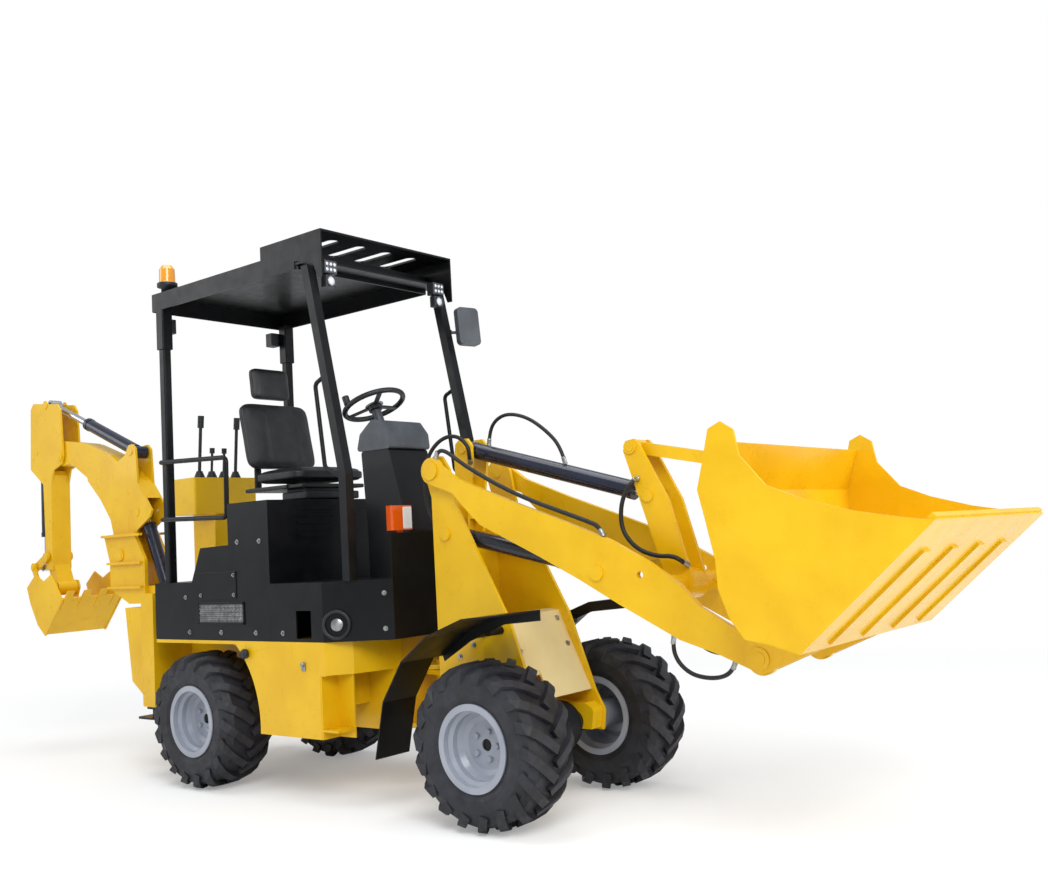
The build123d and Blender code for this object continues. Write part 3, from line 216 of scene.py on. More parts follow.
def seat_vinyl(name):
    """PVC coated seat cloth with a pebbled leather grain about 2 mm across."""
    material, tree, output, place = new_material(name)
    cells = add_node(tree, "ShaderNodeTexVoronoi", {"Vector": place, "Scale": 1000.0 / 2.2},
                     feature="SMOOTH_F1")
    shaded(tree, output, {
        "Base Color": mottled(tree, place, srgb("#141517"), srgb("#222327"), 60.0),
        "Roughness": varied(tree, place, 0.38, 0.52, 30.0),
        "IOR": 1.5,
        "Normal": bumped(tree, cells.outputs["Distance"], 0.4, 0.25),
    })
    return material


def silvered_glass(name):
    """Flat mirror glass."""
    material, tree, output, place = new_material(name)
    shaded(tree, output, {
        "Base Color": mottled(tree, place, srgb("#C8D0D6"), srgb("#D2D9DE"), 90.0),
        "Metallic": 1.0,
        "Roughness": 0.03,
    })
    return material


MATERIALS = {}


def make_materials(settings):
    """Every finish of the machine, by its plain name."""
    enamels = {
        "yellow": painted_steel("yellow_enamel", settings.yellow_dark, settings.yellow_light, 0.30),
        "black": painted_steel("black_satin_enamel", settings.black_dark, settings.black_light, 0.36,
                               coat=0.06, shine=0.22),
        "navy": painted_steel("cylinder_enamel", settings.cylinder_dark, settings.cylinder_light, 0.26,
                              coat=0.4),
        "silver": painted_steel("silver_wheel_enamel", settings.wheel_dark, settings.wheel_light, 0.34,
                                coat=0.3, shine=0.5),
        # The tower's slanted cover plate is yellow enamel; its pale cream tones are a painted highlight
        # where it faces the light
        "yellow_painted_highlight": painted_steel("yellow_enamel_painted_highlight", settings.plate_highlight_dark, settings.plate_highlight_light, 0.38),
    }
    MATERIALS.update(enamels)
    MATERIALS["chrome"] = polished_rod("hard_chrome")
    MATERIALS["zinc"] = bare_metal("zinc_plated_steel", "#8C8F90", "#B4B6B5", 0.28, 0.42)
    MATERIALS["steel"] = bare_metal("milled_steel", "#6D6F72", "#8D8F92", 0.30, 0.46)
    MATERIALS["tyre"] = tyre_rubber("farm_tyre_rubber")
    MATERIALS["vinyl"] = seat_vinyl("coated_seat_cloth")
    MATERIALS["plastic"] = moulded_plastic("black_abs", "#15161A", "#1F2126", 0.45)
    MATERIALS["grey_plastic"] = moulded_plastic("grey_abs", "#3D4147", "#4B5057", 0.42)
    MATERIALS["hose"] = moulded_plastic("hose_cover_rubber", "#0E0F11", "#17181B", 0.55, 1.6, 0.4)
    MATERIALS["amber"] = clear_lens("amber_acrylic", "#D8540E")
    MATERIALS["beacon"] = clear_lens("beacon_acrylic", "#EE9C12")
    MATERIALS["clear"] = clear_lens("clear_acrylic", "#DADDE0")
    MATERIALS["mirror"] = silvered_glass("mirror_glass")


NODE_FINISH = {
    "yellow": ["rear_chassis", "front_chassis", "loader_arms", "tilt_lever", "tilt_link", "loader_bucket",
               "swing_post", "boom", "dipper", "hoe_bucket", "hoe_rocker", "hoe_link", "hoe_console"],
    "black": ["rear_axle", "front_axle", "rear_body", "front_body", "canopy_frame", "canopy_roof",
              "steering_console", "handrails", "fenders", "stabiliser_leg_left", "stabiliser_leg_right"],
    "navy": ["lift_barrels", "tilt_barrel", "boom_cylinder_barrel", "dipper_cylinder_barrel",
             "bucket_cylinder_barrel"],
    "chrome": ["lift_rods", "tilt_rod", "boom_cylinder_rod", "dipper_cylinder_rod", "bucket_cylinder_rod"],
    "silver": [wheel + "_rim" for wheel in WHEELS],
    "tyre": [wheel + "_tyre" for wheel in WHEELS],
    # Yellow enamel painted pale cream as a painted highlight
    "yellow_painted_highlight": ["tower_cover"],
    "steel": ["engine_block"],
    "vinyl": ["seat_cushion", "seat_backrest", "headrest"],
    "plastic": ["seat_base", "steering_wheel", "hoe_levers", "work_lamps"],
    "grey_plastic": ["instrument_cowl", "mirror"],
    "amber": ["front_lamps"],
    "beacon": ["beacon"],
}


def sized(obj, finish, body):
    """Give a new piece its material and the body it rides on."""
    obj.data.materials.clear()
    obj.data.materials.append(MATERIALS[finish])
    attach(obj, body)
    return obj


# Settings

def tone(name, code):
    """Colour setting with its default given as an sRGB hex value."""
    return FloatVectorProperty(name=name, description=name + " tone of this finish", subtype="COLOR", size=4,
                               min=0.0, max=1.0, default=srgb(code))


def width(name, description, default):
    """Length setting in metres."""
    return FloatProperty(name=name, description=description, unit="LENGTH", default=default, precision=4)


class FinishSettings(bpy.types.PropertyGroup):
    """Darkest and lightest tones of each enamel."""
    yellow_dark: tone("Yellow, dark", "#E3B20A")
    yellow_light: tone("Yellow, light", "#EDBE12")
    black_dark: tone("Black, dark", "#0A0B0D")
    black_light: tone("Black, light", "#121316")
    cylinder_dark: tone("Cylinders, dark", "#131828")
    cylinder_light: tone("Cylinders, light", "#1C2338")
    wheel_dark: tone("Wheels, dark", "#8F95A2")
    wheel_light: tone("Wheels, light", "#A4A9B4")
    # Pale cream tones of the yellow tower plate: a painted highlight, not the plate's own colour
    plate_highlight_dark: tone("Tower plate highlight, dark", "#E2CB8E")
    plate_highlight_light: tone("Tower plate highlight, light", "#EAD69D")


class HoseSettings(bpy.types.PropertyGroup):
    """Outer diameters of the hydraulic hoses."""
    large: width("Large hose", "Outer diameter of the tower, arm and lever hoses", 0.018)
    small: width("Small hose", "Outer diameter of the cylinder and lower hoses", 0.016)


class SeatSettings(bpy.types.PropertyGroup):
    """How full the seat's padded pieces are."""
    seam_depth: width("Seam depth", "How deep the sewn channels lie", 0.0055)
    cushion_crown: width("Cushion crown", "How far the cushion swells at its middle", 0.014)
    back_crown: width("Backrest crown", "How far the backrest swells at its middle", 0.012)
    head_crown: width("Headrest crown", "How far the headrest swells at its middle", 0.008)


class BoltSettings(bpy.types.PropertyGroup):
    """Washer radii; each hex head is a little over half as wide as its washer."""
    cover: width("Cover bolt", "Radius of the washers on the side covers", 0.012)
    chamfer: width("Corner bolt", "Radius of the washers on the slanted front corners", 0.011)
    small_cover: width("Small cover bolt", "Radius of the washer beside the grille", 0.011)
    plate: width("Plate bolt", "Radius of the washers on the plate over the grille", 0.010)
    tower: width("Tower bolt", "Radius of the washers on the tower and its plate", 0.013)


def mm(length):
    """A length setting in whole thousandths of a millimetre, so that its default comes back exactly."""
    return round(length * 1000, 3)


# Shapes

def spot(x, y, z):
    """Place in millimetres from the front axle's line, the centreline and the ground."""
    return Vector((FRONT_AXLE + x / 1000, y / 1000, z / 1000))


def standing(place, axis):
    """Matrix that stands a shape's own Z along an axis at a place."""
    return Matrix.Translation(place) @ Vector(axis).to_track_quat("Z", "Y").to_matrix().to_4x4()


def piece_from(shape, name, finish, body, smooth=False):
    """Turn a finished bmesh into a piece that rides on its body."""
    bmesh.ops.recalc_face_normals(shape, faces=shape.faces)
    mesh = bpy.data.meshes.new(name)
    shape.to_mesh(mesh)
    shape.free()
    if smooth:
        mesh.shade_smooth()
    obj = bpy.data.objects.new(name, mesh)
    bpy.context.scene.collection.objects.link(obj)
    return sized(obj, finish, body)


def add_turned(shape, profile, place, axis, steps=40):
    """Turn a profile of radii and heights in millimetres round an axis."""
    known = set(shape.verts)
    line = [shape.verts.new((radius / 1000, 0, height / 1000)) for radius, height in profile]
    edges = [shape.edges.new(pair) for pair in zip(line, line[1:])]
    if profile[0][0] and profile[-1][0]:
        edges.append(shape.edges.new((line[-1], line[0])))
    bmesh.ops.spin(shape, geom=line + edges, cent=(0, 0, 0), axis=(0, 0, 1), dvec=(0, 0, 0),
                   angle=2 * pi, steps=steps, use_merge=True)
    made = [vert for vert in shape.verts if vert not in known]
    bmesh.ops.remove_doubles(shape, verts=made, dist=1e-6)
    made = [vert for vert in shape.verts if vert not in known]
    bmesh.ops.transform(shape, matrix=standing(place, axis), verts=made)


def add_block(shape, where, size_mm, edge_mm):
    """Block of a size in millimetres, with rounded edges, at a place or turned by a matrix."""
    turn = where if isinstance(where, Matrix) else Matrix.Translation(where)
    grown = Matrix.Diagonal([side / 1000 for side in size_mm] + [1.0])
    made = bmesh.ops.create_cube(shape, size=1.0, matrix=turn @ grown)
    edges = list({edge for vert in made["verts"] for edge in vert.link_edges})
    bmesh.ops.bevel(shape, geom=edges, offset=edge_mm / 1000, segments=3, profile=0.5, affect="EDGES",
                    material=-1, clamp_overlap=True)


WASHER_MM = 1.6


def add_bolt(shape, place, axis, washer_mm):
    """Hex head on its round washer, sized by the washer's radius."""
    way = Vector(axis).normalized()
    add_turned(shape, [(0, 0), (washer_mm, 0), (washer_mm, WASHER_MM), (0, WASHER_MM)], place, way, 24)
    height = washer_mm * 0.6 / 1000
    bmesh.ops.create_cone(shape, cap_ends=True, segments=6, radius1=washer_mm * 0.577 / 1000,
                          radius2=washer_mm * 0.52 / 1000, depth=height,
                          matrix=standing(place + way * (WASHER_MM / 1000 + height / 2), way))


# Places in millimetres, as spot takes them: the rear body's side faces and slanted front corners
SIDE_Y = 500
COVER_BOLTS = ((-1877, 759), (-1620, 759), (-1354, 759), (-1157, 759), (-1475, 1188), (-1308, 1186))
SMALL_COVER_BOLT = (-1905, 930)
OVER_PLATE_Y = SIDE_Y + 4
PLATE_BOLTS = ((-1772, 938), (-1508, 938), (-1508, 1032))
CORNER_OUT = Vector((0.526, -0.851, 0))
CORNER_BOLTS = ((-640, -351.6, 770), (-640, -351.6, 925))

# The tower's slanted cover plate, from its top edge to its foot, and the tower's sides
PLATE_TOP = (-104, 804)
PLATE_RUN = (157, -342)
PLATE_OUT = Vector((0.909, 0, 0.417))
PLATE_BOLT_SHARES = (0.1, 0.42)
PLATE_BOLT_Y = 165
TOWER_SIDE_Y = 217
TOWER_BOLTS = ((-330, 640), (-300, 560), (-250, 690), (-430, 500))


class LOADER_OT_bolts(bpy.types.Operator):
    """Hex heads on the covers, the tower's plate and the tower's sides"""
    bl_idname = "loader.bolts"
    bl_label = "Bolts"

    def execute(self, context):
        settings = context.scene.loader_bolts
        covers = bmesh.new()
        for hand in (-1, 1):
            outward = (0, hand, 0)
            for x, z in COVER_BOLTS:
                add_bolt(covers, spot(x, hand * SIDE_Y, z), outward, mm(settings.cover))
            for x, z in PLATE_BOLTS:
                add_bolt(covers, spot(x, hand * OVER_PLATE_Y, z), outward, mm(settings.plate))
            x, z = SMALL_COVER_BOLT
            add_bolt(covers, spot(x, hand * SIDE_Y, z), outward, mm(settings.small_cover))
            for x, y, z in CORNER_BOLTS:
                add_bolt(covers, spot(x, -hand * y, z), (CORNER_OUT.x, -hand * CORNER_OUT.y, 0),
                         mm(settings.chamfer))
        piece_from(covers, "cover_bolts", "zinc", "rear_frame")
        plate = bmesh.new()
        for share in PLATE_BOLT_SHARES:
            for y in (-PLATE_BOLT_Y, PLATE_BOLT_Y):
                place = spot(PLATE_TOP[0] + PLATE_RUN[0] * share, y, PLATE_TOP[1] + PLATE_RUN[1] * share)
                add_bolt(plate, place, PLATE_OUT, mm(settings.tower))
        for hand in (-1, 1):
            for x, z in TOWER_BOLTS:
                add_bolt(plate, spot(x, hand * TOWER_SIDE_Y, z), (0, hand, 0), mm(settings.tower))
        piece_from(plate, "tower_bolts", "zinc", "front_frame")
        return {"FINISHED"}


# Lamps, beacon and mirror: front faces and centres in millimetres
LAMP_X = -885
LAMP_Y = 364
CELL_PITCH = (23, 26)
SQUARE_LAMP_Z = 2431
ROUND_LAMP_Z = 2365
MARKER = (-617, 229, 1251)
BEACON_FOOT = (-2150, -390, 2532)
MIRROR_CENTRE = (-850, 519, 2240)
AHEAD = (1, 0, 0)


class LOADER_OT_lamps(bpy.types.Operator):
    """Lenses of the work lamps and marker lamps, the beacon's foot and the mirror's glass"""
    bl_idname = "loader.lamps"
    bl_label = "Lamps and mirror"

    def execute(self, context):
        lenses = bmesh.new()
        rims = bmesh.new()
        markers = bmesh.new()
        for hand in (-1, 1):
            self.work_lamp(lenses, rims, hand * LAMP_Y)
            add_block(markers, spot(MARKER[0], hand * MARKER[1], MARKER[2]), (44, 62, 104), 8)
        piece_from(rims, "work_lamp_rims", "grey_plastic", "rear_frame")
        piece_from(lenses, "work_lamp_lenses", "clear", "rear_frame", smooth=True)
        piece_from(markers, "marker_lamp_lenses", "clear", "rear_frame")
        foot = bmesh.new()
        add_turned(foot, [(27, 0), (32, 0), (32, 30), (53, 36), (53, 56), (49, 58), (27, 58)],
                   spot(*BEACON_FOOT), (0, 0, 1), 48)
        piece_from(foot, "beacon_foot", "plastic", "rear_frame", smooth=True)
        self.mirror_pane()
        return {"FINISHED"}

    def work_lamp(self, lenses, rims, y):
        """Six round cells in a square frame, over one small round lamp."""
        for row in (-1, 1):
            for column in (-1, 0, 1):
                place = spot(LAMP_X + 1, y + CELL_PITCH[0] * column, SQUARE_LAMP_Z + CELL_PITCH[1] / 2 * row)
                add_turned(lenses, [(0, 5), (6, 4), (9.5, 0), (10.5, -2), (0, -2)], place, AHEAD, 20)
        add_block(rims, spot(LAMP_X, y, SQUARE_LAMP_Z), (5, 72, 56), 2)
        add_turned(lenses, [(0, 6), (12, 5), (21, 0), (22, -2), (0, -2)],
                   spot(LAMP_X + 2, y, ROUND_LAMP_Z), AHEAD, 32)
        add_turned(rims, [(22, -1), (27, -1), (27, 5), (24, 7), (22, 5)],
                   spot(LAMP_X, y, ROUND_LAMP_Z), AHEAD, 32)

    def mirror_pane(self):
        """Pane on the rear face of the mirror's housing, turned as the housing is."""
        pane = bmesh.new()
        outward = Vector((-0.97, 0.25, -0.1)).normalized()
        across = Vector((0.25, 0.97, 0)).normalized()
        turn = Matrix((across, outward.cross(across), outward)).transposed().to_4x4()
        centre = spot(*MIRROR_CENTRE) + outward * 0.0012
        add_block(pane, Matrix.Translation(centre) @ turn, (112, 182, 2.4), 1)
        piece_from(pane, "mirror_pane", "mirror", "rear_frame")


# Covers: the grille's edges, the filler port, the skirt's fittings and the wheel's hub, in millimetres
GRILLE_X = (-1787, -1445)
GRILLE_Z = (809, 892)
GRILLE_CELLS = (32, 8)
GRILLE_PROUD_Y = SIDE_Y + 2
GRILLE_EDGE = 12
STRAND_WIDTH = 0.0032
COVER_PLATE = (-1640, 985)
PORT = (-826, -467, 795)
LATCH = (-1019, 612)
KNOB = (-1424, 662)
WHEEL_HUB = (-1018, 0, 1823)
WHEEL_TILT = radians(22.5)


class LOADER_OT_covers(bpy.types.Operator):
    """Expanded metal grilles, filler port, latches, knobs and the steering wheel's pad"""
    bl_idname = "loader.covers"
    bl_label = "Cover details"

    def execute(self, context):
        self.grilles()
        self.filler()
        self.skirt_fittings()
        self.wheel_pad()
        return {"FINISHED"}

    def grilles(self):
        """Grid with every other row shifted by half a cell, thinned to strands, in a frame on each side."""
        mesh = bmesh.new()
        frames = bmesh.new()
        centre_x = sum(GRILLE_X) / 2
        centre_z = sum(GRILLE_Z) / 2
        wide = GRILLE_X[1] - GRILLE_X[0]
        high = GRILLE_Z[1] - GRILLE_Z[0]
        columns, rows = GRILLE_CELLS
        for hand in (-1, 1):
            centre = spot(centre_x, hand * GRILLE_PROUD_Y, centre_z)
            upright = Matrix.Translation(centre) @ Matrix.Rotation(pi / 2, 4, "X")
            known = set(mesh.verts)
            bmesh.ops.create_grid(mesh, x_segments=columns, y_segments=rows, size=0.5,
                                  matrix=upright @ Matrix.Diagonal((wide / 1000, high / 1000, 1, 1)))
            for vert in mesh.verts:
                if vert not in known:
                    row = round((vert.co.z - GRILLE_Z[0] / 1000) / (high / 1000 / rows))
                    vert.co.x += (row % 2) * wide / 1000 / columns / 2
            for z in (GRILLE_Z[0] - GRILLE_EDGE / 2, GRILLE_Z[1] + GRILLE_EDGE / 2):
                add_block(frames, spot(centre_x, hand * GRILLE_PROUD_Y, z),
                          (wide + 2 * GRILLE_EDGE, 7, GRILLE_EDGE), 2)
            for x in (GRILLE_X[0] - GRILLE_EDGE / 2, GRILLE_X[1] + GRILLE_EDGE / 2):
                add_block(frames, spot(x, hand * GRILLE_PROUD_Y, centre_z),
                          (GRILLE_EDGE, 7, high + 2 * GRILLE_EDGE), 2)
            add_block(frames, spot(COVER_PLATE[0], hand * (SIDE_Y + 1), COVER_PLATE[1]), (300, 6, 130), 2)
        bmesh.ops.wireframe(mesh, faces=mesh.faces[:], thickness=STRAND_WIDTH, use_replace=True,
                            use_boundary=True, use_even_offset=True)
        piece_from(mesh, "expanded_metal", "zinc", "rear_frame")
        piece_from(frames, "grille_frames", "black", "rear_frame")

    def filler(self):
        """Black ring and pale plate of the filler port, on the right front corner."""
        ring = bmesh.new()
        add_turned(ring, [(50, -1), (66, -1), (66, 8), (60, 12), (52, 10)], spot(*PORT), CORNER_OUT, 56)
        piece_from(ring, "filler_ring", "plastic", "rear_frame", smooth=True)
        cap = bmesh.new()
        add_turned(cap, [(0, 5), (26, 4), (30, 0), (30, -1), (0, -1)], spot(*PORT) + CORNER_OUT * 0.001,
                   CORNER_OUT, 40)
        piece_from(cap, "filler_plate", "zinc", "rear_frame", smooth=True)

    def skirt_fittings(self):
        """Latch and round knob on each skirt."""
        latch = bmesh.new()
        for hand in (-1, 1):
            add_block(latch, spot(LATCH[0], hand * (SIDE_Y + 3), LATCH[1]), (24, 6, 40), 2)
            add_turned(latch, [(0, 12), (9, 11), (11, 7), (11, 0), (0, 0)],
                       spot(LATCH[0], hand * (SIDE_Y + 6), LATCH[1] + 10), (0, hand, 0), 24)
        piece_from(latch, "skirt_latches", "zinc", "rear_frame")
        knobs = bmesh.new()
        for hand in (-1, 1):
            add_turned(knobs, [(0, 30), (20, 28), (24, 20), (22, 8), (12, 0), (0, 0)],
                       spot(KNOB[0], hand * SIDE_Y, KNOB[1]), (0, hand, 0), 32)
        piece_from(knobs, "skirt_knobs", "plastic", "rear_frame", smooth=True)

    def wheel_pad(self):
        """Silver pad on the steering wheel's hub."""
        upward = Vector((-sin(WHEEL_TILT), 0, cos(WHEEL_TILT)))
        pad = bmesh.new()
        add_turned(pad, [(0, 5), (38, 4), (46, 0), (46, -2), (0, -2)], spot(*WHEEL_HUB) - upward * 0.002,
                   upward, 40)
        piece_from(pad, "steering_wheel_pad", "silver", "steering_wheel_body", smooth=True)


# Hydraulic hoses: body, size and points in millimetres, from the fitting where each one starts
HOSES = {
    "tower_hose": ("front_frame", "large", [
        (-456, -112, 1190), (-500, -112, 1192), (-556, -112, 1225), (-590, -112, 1310),
        (-594, -112, 1420), (-565, -112, 1530), (-480, -110, 1600), (-385, -105, 1605),
        (-325, -100, 1550), (-330, -92, 1498), (-352, -62, 1478)]),
    "tilt_hose": ("tilt_cylinder", "small", [
        (-290, 0, 1552), (-282, -3, 1600), (-245, -12, 1655), (-160, -24, 1682),
        (-50, -24, 1655), (45, -20, 1590), (118, -10, 1510), (130, 0, 1433)]),
    "arm_hose": ("arms", "large", [
        (-398, -238, 1500), (-384, -238, 1530), (-340, -238, 1528), (-270, -238, 1480),
        (-200, -238, 1436), (-40, -238, 1350), (116, -238, 1282), (266, -238, 1228),
        (400, -238, 1180), (452, -238, 1158), (470, -238, 1118)]),
    "lever_hose": ("lever", "large", [
        (528, -60, 1338), (526, -98, 1330), (486, -104, 1280), (464, -104, 1210), (470, -104, 1130),
        (530, -104, 1062), (620, -104, 1030), (690, -104, 1030), (728, -96, 1008), (731, -60, 991)]),
    "lower_hose_left": ("arms", "small", [
        (557, 238, 844), (540, 238, 806), (536, 238, 740), (565, 237, 672), (625, 236, 630),
        (695, 236, 618), (765, 237, 638), (805, 238, 678), (822, 238, 716)]),
    "lower_hose_right": ("arms", "small", [
        (758, -238, 742), (748, -238, 706), (762, -238, 650), (815, -238, 604),
        (885, -238, 590), (950, -238, 596), (990, -238, 622), (1004, -238, 654)]),
}


class LOADER_OT_hoses(bpy.types.Operator):
    """Hydraulic hoses with their crimped ferrules"""
    bl_idname = "loader.hoses"
    bl_label = "Hoses"

    def execute(self, context):
        settings = context.scene.loader_hoses
        ferrules = {}
        for name, (body, size, route) in HOSES.items():
            diameter_mm = mm(getattr(settings, size))
            curve = bpy.data.curves.new(name, "CURVE")
            curve.dimensions = "3D"
            curve.resolution_u = 10
            spline = curve.splines.new("NURBS")
            spline.points.add(len(route) - 1)
            for point, place in zip(spline.points, route):
                point.co = spot(*place).to_4d()
            spline.order_u = 3
            spline.use_endpoint_u = True
            hose = bpy.data.objects.new(name, curve)
            context.scene.collection.objects.link(hose)
            context.view_layer.update()
            line = bpy.data.meshes.new_from_object(hose)
            places = [vert.co.copy() for vert in line.vertices]
            bpy.data.meshes.remove(line)
            curve.bevel_depth = diameter_mm / 2000
            curve.bevel_resolution = 5
            curve.use_fill_caps = True
            sized(hose, "hose", body)
            shape = ferrules.setdefault(body, bmesh.new())
            self.add_ferrule(shape, places[0], places[2] - places[0], diameter_mm / 2)
            self.add_ferrule(shape, places[-1], places[-3] - places[-1], diameter_mm / 2)
        for body, shape in ferrules.items():
            piece_from(shape, body + "_ferrules", "zinc", body)
        return {"FINISHED"}

    def add_ferrule(self, shape, place, way, radius):
        """Crimped steel sleeve with a collar at each end."""
        profile = [(0, -3), (radius * 0.8, -3), (radius * 1.35, 0), (radius * 1.35, 4), (radius * 1.2, 6),
                   (radius * 1.2, 26), (radius * 1.3, 28), (radius * 1.1, 32), (0, 32)]
        add_turned(shape, profile, place, way, 24)


PAD_CUTS = 23
SEAM_WIDTH = 0.035
# Seams lie half way out from the middle, as shares of the pad's half width
SEAMS = (-0.5, 0.5)


def stuffed(name, centre, up_the_pad, outward, size_mm, crown_mm, seams, seam_depth, node):
    """Crowned cushion whose sides pull in between its corners, with sewn channels across it."""
    length, width_across, depth = (side / 1000 for side in size_mm)
    crown = crown_mm / 1000
    shape = bmesh.new()
    bmesh.ops.create_cube(shape, size=2.0)
    bmesh.ops.subdivide_edges(shape, edges=shape.edges[:], cuts=PAD_CUTS, use_grid_fill=True)
    for vert in shape.verts:
        u, v, w = vert.co
        corner = 1 - 0.10 * abs(u * v) ** 6
        swell = (1 - u ** 4) * (1 - v ** 4)
        groove = sum(seam_depth * 2.7 ** -(((v - seam) / SEAM_WIDTH) ** 2) for seam in seams)
        rolled_edge = 1 - 0.34 * max(abs(u), abs(v)) ** 10
        tucked = 1 - 0.05 * abs(w) ** 6
        vert.co.x = u * length / 2 * corner * (1 - 0.02 * (1 - v * v)) * tucked
        vert.co.y = v * width_across / 2 * corner * (1 - 0.02 * (1 - u * u)) * tucked
        vert.co.z = w * (depth / 2 - crown) * rolled_edge
        if w > 0:
            vert.co.z += (crown * swell - groove * (1 - u ** 6)) * w
    forward = Vector(outward).normalized()
    upward = Vector(up_the_pad).normalized()
    turn = Matrix((upward, forward.cross(upward), forward)).transposed().to_4x4()
    bmesh.ops.transform(shape, matrix=Matrix.Translation(centre) @ turn, verts=shape.verts)
    pad = piece_from(shape, name, "vinyl", "rear_frame", smooth=True)
    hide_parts(node)


class LOADER_OT_seat(bpy.types.Operator):
    """Seat cushion, backrest and headrest in coated cloth, and the pan that carries them"""
    bl_idname = "loader.seat"
    bl_label = "Seat"

    def execute(self, context):
        settings = context.scene.loader_seat
        seam = round(settings.seam_depth, 6)
        stuffed("cushion_pad", spot(-1512, 0, 1509), (1, 0, 0), (0, 0, 1), (352, 466, 90),
                mm(settings.cushion_crown), SEAMS, seam, "seat_cushion")
        stuffed("backrest_pad", spot(-1764, 0, 1739), (-0.205, 0, 0.979), (0.979, 0, 0.205), (360, 446, 74),
                mm(settings.back_crown), SEAMS, seam, "seat_backrest")
        stuffed("headrest_pad", spot(-1818, 0, 2027), (-0.1, 0, 0.995), (0.995, 0, 0.1), (168, 246, 62),
                mm(settings.head_crown), (), seam, "headrest")
        self.carrier()
        return {"FINISHED"}

    def carrier(self):
        """Two stepped boxes, the pan with its side rails, and two uprights behind the backrest."""
        base = bmesh.new()
        add_block(base, spot(-1435, 0, 1405), (186, 356, 40), 8)
        add_block(base, spot(-1435, 0, 1428), (150, 320, 30), 6)
        add_block(base, spot(-1560, 0, 1451), (450, 416, 20), 6)
        for hand in (-1, 1):
            add_block(base, spot(-1788, hand * 120, 1578), (14, 40, 256), 5)
            add_block(base, spot(-1590, hand * 214, 1452), (300, 12, 18), 4)
        pan = piece_from(base, "seat_pan", "plastic", "rear_frame")
        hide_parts("seat_base")


# Camera, floor and light

class StageSettings(bpy.types.PropertyGroup):
    """Where the camera stands and how bright the studio is."""
    camera_place: FloatVectorProperty(name="Camera place", description="Camera position",
                                      subtype="TRANSLATION", unit="LENGTH",
                                      default=(4.0105, -3.795, 1.124))
    camera_yaw: FloatProperty(name="Yaw", description="Heading from +X", subtype="ANGLE", default=2.24518)
    camera_pitch: FloatProperty(name="Pitch", description="Tilt up from level", subtype="ANGLE",
                                default=0.08622)
    camera_roll: FloatProperty(name="Roll", description="Turn about the view", subtype="ANGLE",
                               default=-0.05605)
    focal_px: FloatProperty(name="Focal length", description="In pixels of the whole frame's width",
                            default=1113.66)
    key_power: FloatProperty(name="Key light", description="Power of the large front light", default=330.0,
                             unit="POWER")


# Width of the photograph's frame in pixels, which the focal length is given in
FRAME_WIDTH_PX = 1048.0


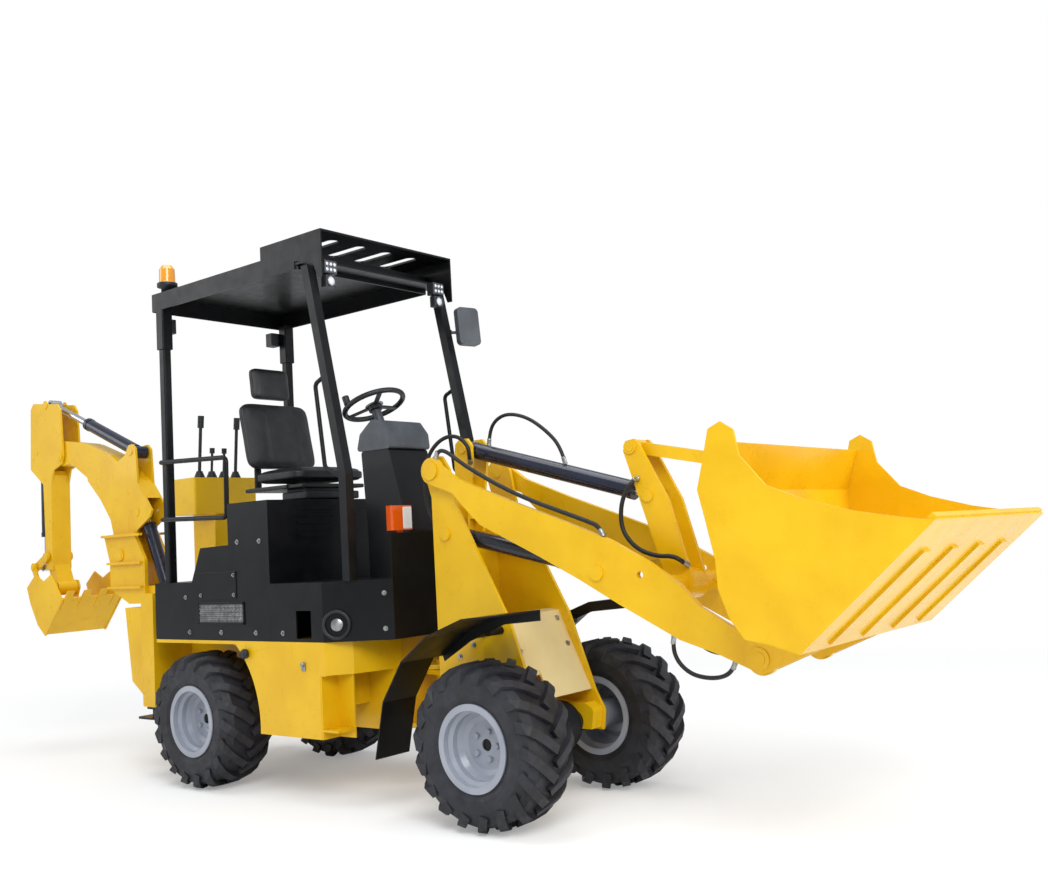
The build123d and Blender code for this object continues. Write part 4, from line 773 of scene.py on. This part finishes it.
class LOADER_OT_stage(bpy.types.Operator):
    """Pale floor, plain world, soft lights and the camera"""
    bl_idname = "loader.stage"
    bl_label = "Stage"

    def execute(self, context):
        settings = context.scene.loader_stage
        scene = context.scene
        scene.view_settings.view_transform = "Standard"
        camera = bpy.data.cameras.new("studio_camera")
        camera.sensor_width = 36.0
        camera.sensor_fit = "HORIZONTAL"
        camera.lens = 36.0 * settings.focal_px / FRAME_WIDTH_PX
        camera.clip_end = 200.0
        eye = bpy.data.objects.new("studio_camera", camera)
        scene.collection.objects.link(eye)
        ahead = Vector((cos(settings.camera_pitch) * cos(settings.camera_yaw),
                        cos(settings.camera_pitch) * sin(settings.camera_yaw), sin(settings.camera_pitch)))
        right = ahead.cross(Vector((0, 0, 1))).normalized()
        upward = right.cross(ahead)
        turned_right = right * cos(settings.camera_roll) + upward * sin(settings.camera_roll)
        turned_up = upward * cos(settings.camera_roll) - right * sin(settings.camera_roll)
        turn = Matrix((turned_right, turned_up, -ahead)).transposed().to_4x4()
        eye.matrix_world = Matrix.Translation(Vector(settings.camera_place)) @ turn
        scene.camera = eye
        self.floor(scene)
        self.world(scene)
        self.lights(scene, settings)
        return {"FINISHED"}

    def floor(self, scene):
        """Large pale disc that fades into the white backdrop."""
        shape = bmesh.new()
        bmesh.ops.create_circle(shape, cap_ends=True, segments=96, radius=60.0)
        mesh = bpy.data.meshes.new("studio_floor")
        shape.to_mesh(mesh)
        shape.free()
        disc = bpy.data.objects.new("studio_floor", mesh)
        scene.collection.objects.link(disc)
        material, tree, output, place = new_material("studio_paper")
        # Matt seamless paper: even, with no gloss; only seen by the camera does it turn white far away
        paper = add_node(tree, "ShaderNodeBsdfDiffuse", {"Color": srgb("#F4F4F3"), "Roughness": 0.6})
        white = add_node(tree, "ShaderNodeEmission", {"Color": (1, 1, 1, 1), "Strength": 1.0})
        distance = add_node(tree, "ShaderNodeVectorMath", {0: place}, operation="LENGTH")
        fade = add_node(tree, "ShaderNodeMapRange", {"Value": distance.outputs["Value"], "From Min": 3.2,
                                                     "From Max": 6.5, "To Min": 0.25, "To Max": 1.0},
                        interpolation_type="SMOOTHSTEP")
        ray = add_node(tree, "ShaderNodeLightPath")
        seen = add_node(tree, "ShaderNodeMath",
                        {0: fade.outputs["Result"], 1: ray.outputs["Is Camera Ray"]}, operation="MULTIPLY")
        mix = add_node(tree, "ShaderNodeMixShader", {"Fac": seen.outputs["Value"], 1: paper.outputs["BSDF"],
                                                     2: white.outputs["Emission"]})
        tree.links.new(mix.outputs["Shader"], output.inputs["Surface"])
        mesh.materials.append(material)

    def world(self, scene):
        """White to the camera and through glass, softer as light and in reflections."""
        world = bpy.data.worlds.new("studio_world")
        scene.world = world
        world.use_nodes = True
        tree = world.node_tree
        tree.nodes.clear()
        output = add_node(tree, "ShaderNodeOutputWorld")
        ray = add_node(tree, "ShaderNodeLightPath")
        straight = add_node(tree, "ShaderNodeMath", {0: ray.outputs["Is Camera Ray"],
                                                     1: ray.outputs["Is Transmission Ray"]},
                            operation="MAXIMUM")
        soft = add_node(tree, "ShaderNodeBackground", {"Color": srgb("#E9EDF2"), "Strength": 0.62})
        white = add_node(tree, "ShaderNodeBackground", {"Color": (1, 1, 1, 1), "Strength": 1.0})
        mix = add_node(tree, "ShaderNodeMixShader", {"Fac": straight.outputs["Value"],
                                                     1: soft.outputs["Background"],
                                                     2: white.outputs["Background"]})
        tree.links.new(mix.outputs["Shader"], output.inputs["Surface"])

    def lights(self, scene, settings):
        """Large soft panels: key from the front right, a fill behind the camera and a top panel."""
        panels = (
            ("key_panel", (5.5, -4.5, 5.5), (0.6, 0.0, 0.9), 4.0, settings.key_power),
            ("front_panel", (7.5, 1.5, 3.0), (1.2, 0.0, 0.9), 3.5, settings.key_power * 0.55),
            ("top_panel", (-1.0, -0.5, 7.5), (-0.5, 0.0, 1.0), 5.0, settings.key_power * 0.7),
            ("rear_panel", (-6.5, -5.0, 4.0), (-1.2, 0.0, 1.0), 4.0, settings.key_power * 0.35),
        )
        for name, place, aim, width, power in panels:
            light = bpy.data.lights.new(name, "AREA")
            light.shape = "SQUARE"
            light.size = width
            light.energy = power
            lamp = bpy.data.objects.new(name, light)
            scene.collection.objects.link(lamp)
            lamp.location = place
            lamp.rotation_euler = (Vector(aim) - Vector(place)).to_track_quat("-Z", "Y").to_euler()


class LOADER_OT_finishes(bpy.types.Operator):
    """Put a real finish on every solid that is carried over"""
    bl_idname = "loader.finishes"
    bl_label = "Finishes"

    def execute(self, context):
        make_materials(context.scene.loader_finish)
        for finish, nodes in NODE_FINISH.items():
            for node in nodes:
                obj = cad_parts.get(node)
                if obj is None:
                    continue
                obj.data.materials.clear()
                obj.data.materials.append(MATERIALS[finish])
        return {"FINISHED"}


OPERATORS = (LOADER_OT_finishes, LOADER_OT_stage, LOADER_OT_hoses, LOADER_OT_seat, LOADER_OT_lamps,
             LOADER_OT_covers, LOADER_OT_bolts)


class LOADER_PT_panel(bpy.types.Panel):
    """Buttons for each group of pieces"""
    bl_idname = "LOADER_PT_panel"
    bl_label = "Backhoe loader"
    bl_space_type = "VIEW_3D"
    bl_region_type = "UI"
    bl_category = "Backhoe loader"

    def draw(self, context):
        for operator in OPERATORS:
            self.layout.operator(operator.bl_idname)


SETTINGS = {
    "loader_finish": FinishSettings,
    "loader_hoses": HoseSettings,
    "loader_seat": SeatSettings,
    "loader_bolts": BoltSettings,
    "loader_stage": StageSettings,
}
CLASSES = tuple(SETTINGS.values()) + OPERATORS + (LOADER_PT_panel,)


def register():
    for item in CLASSES:
        bpy.utils.register_class(item)
    for name, group in SETTINGS.items():
        setattr(bpy.types.Scene, name, PointerProperty(type=group))


def unregister():
    for name in SETTINGS:
        delattr(bpy.types.Scene, name)
    for item in reversed(CLASSES):
        bpy.utils.unregister_class(item)


def main():
    """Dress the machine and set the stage."""
    register()
    for operator in OPERATORS:
        group, name = operator.bl_idname.split(".")
        getattr(getattr(bpy.ops, group), name)()


if __name__ == "__main__":
    main()
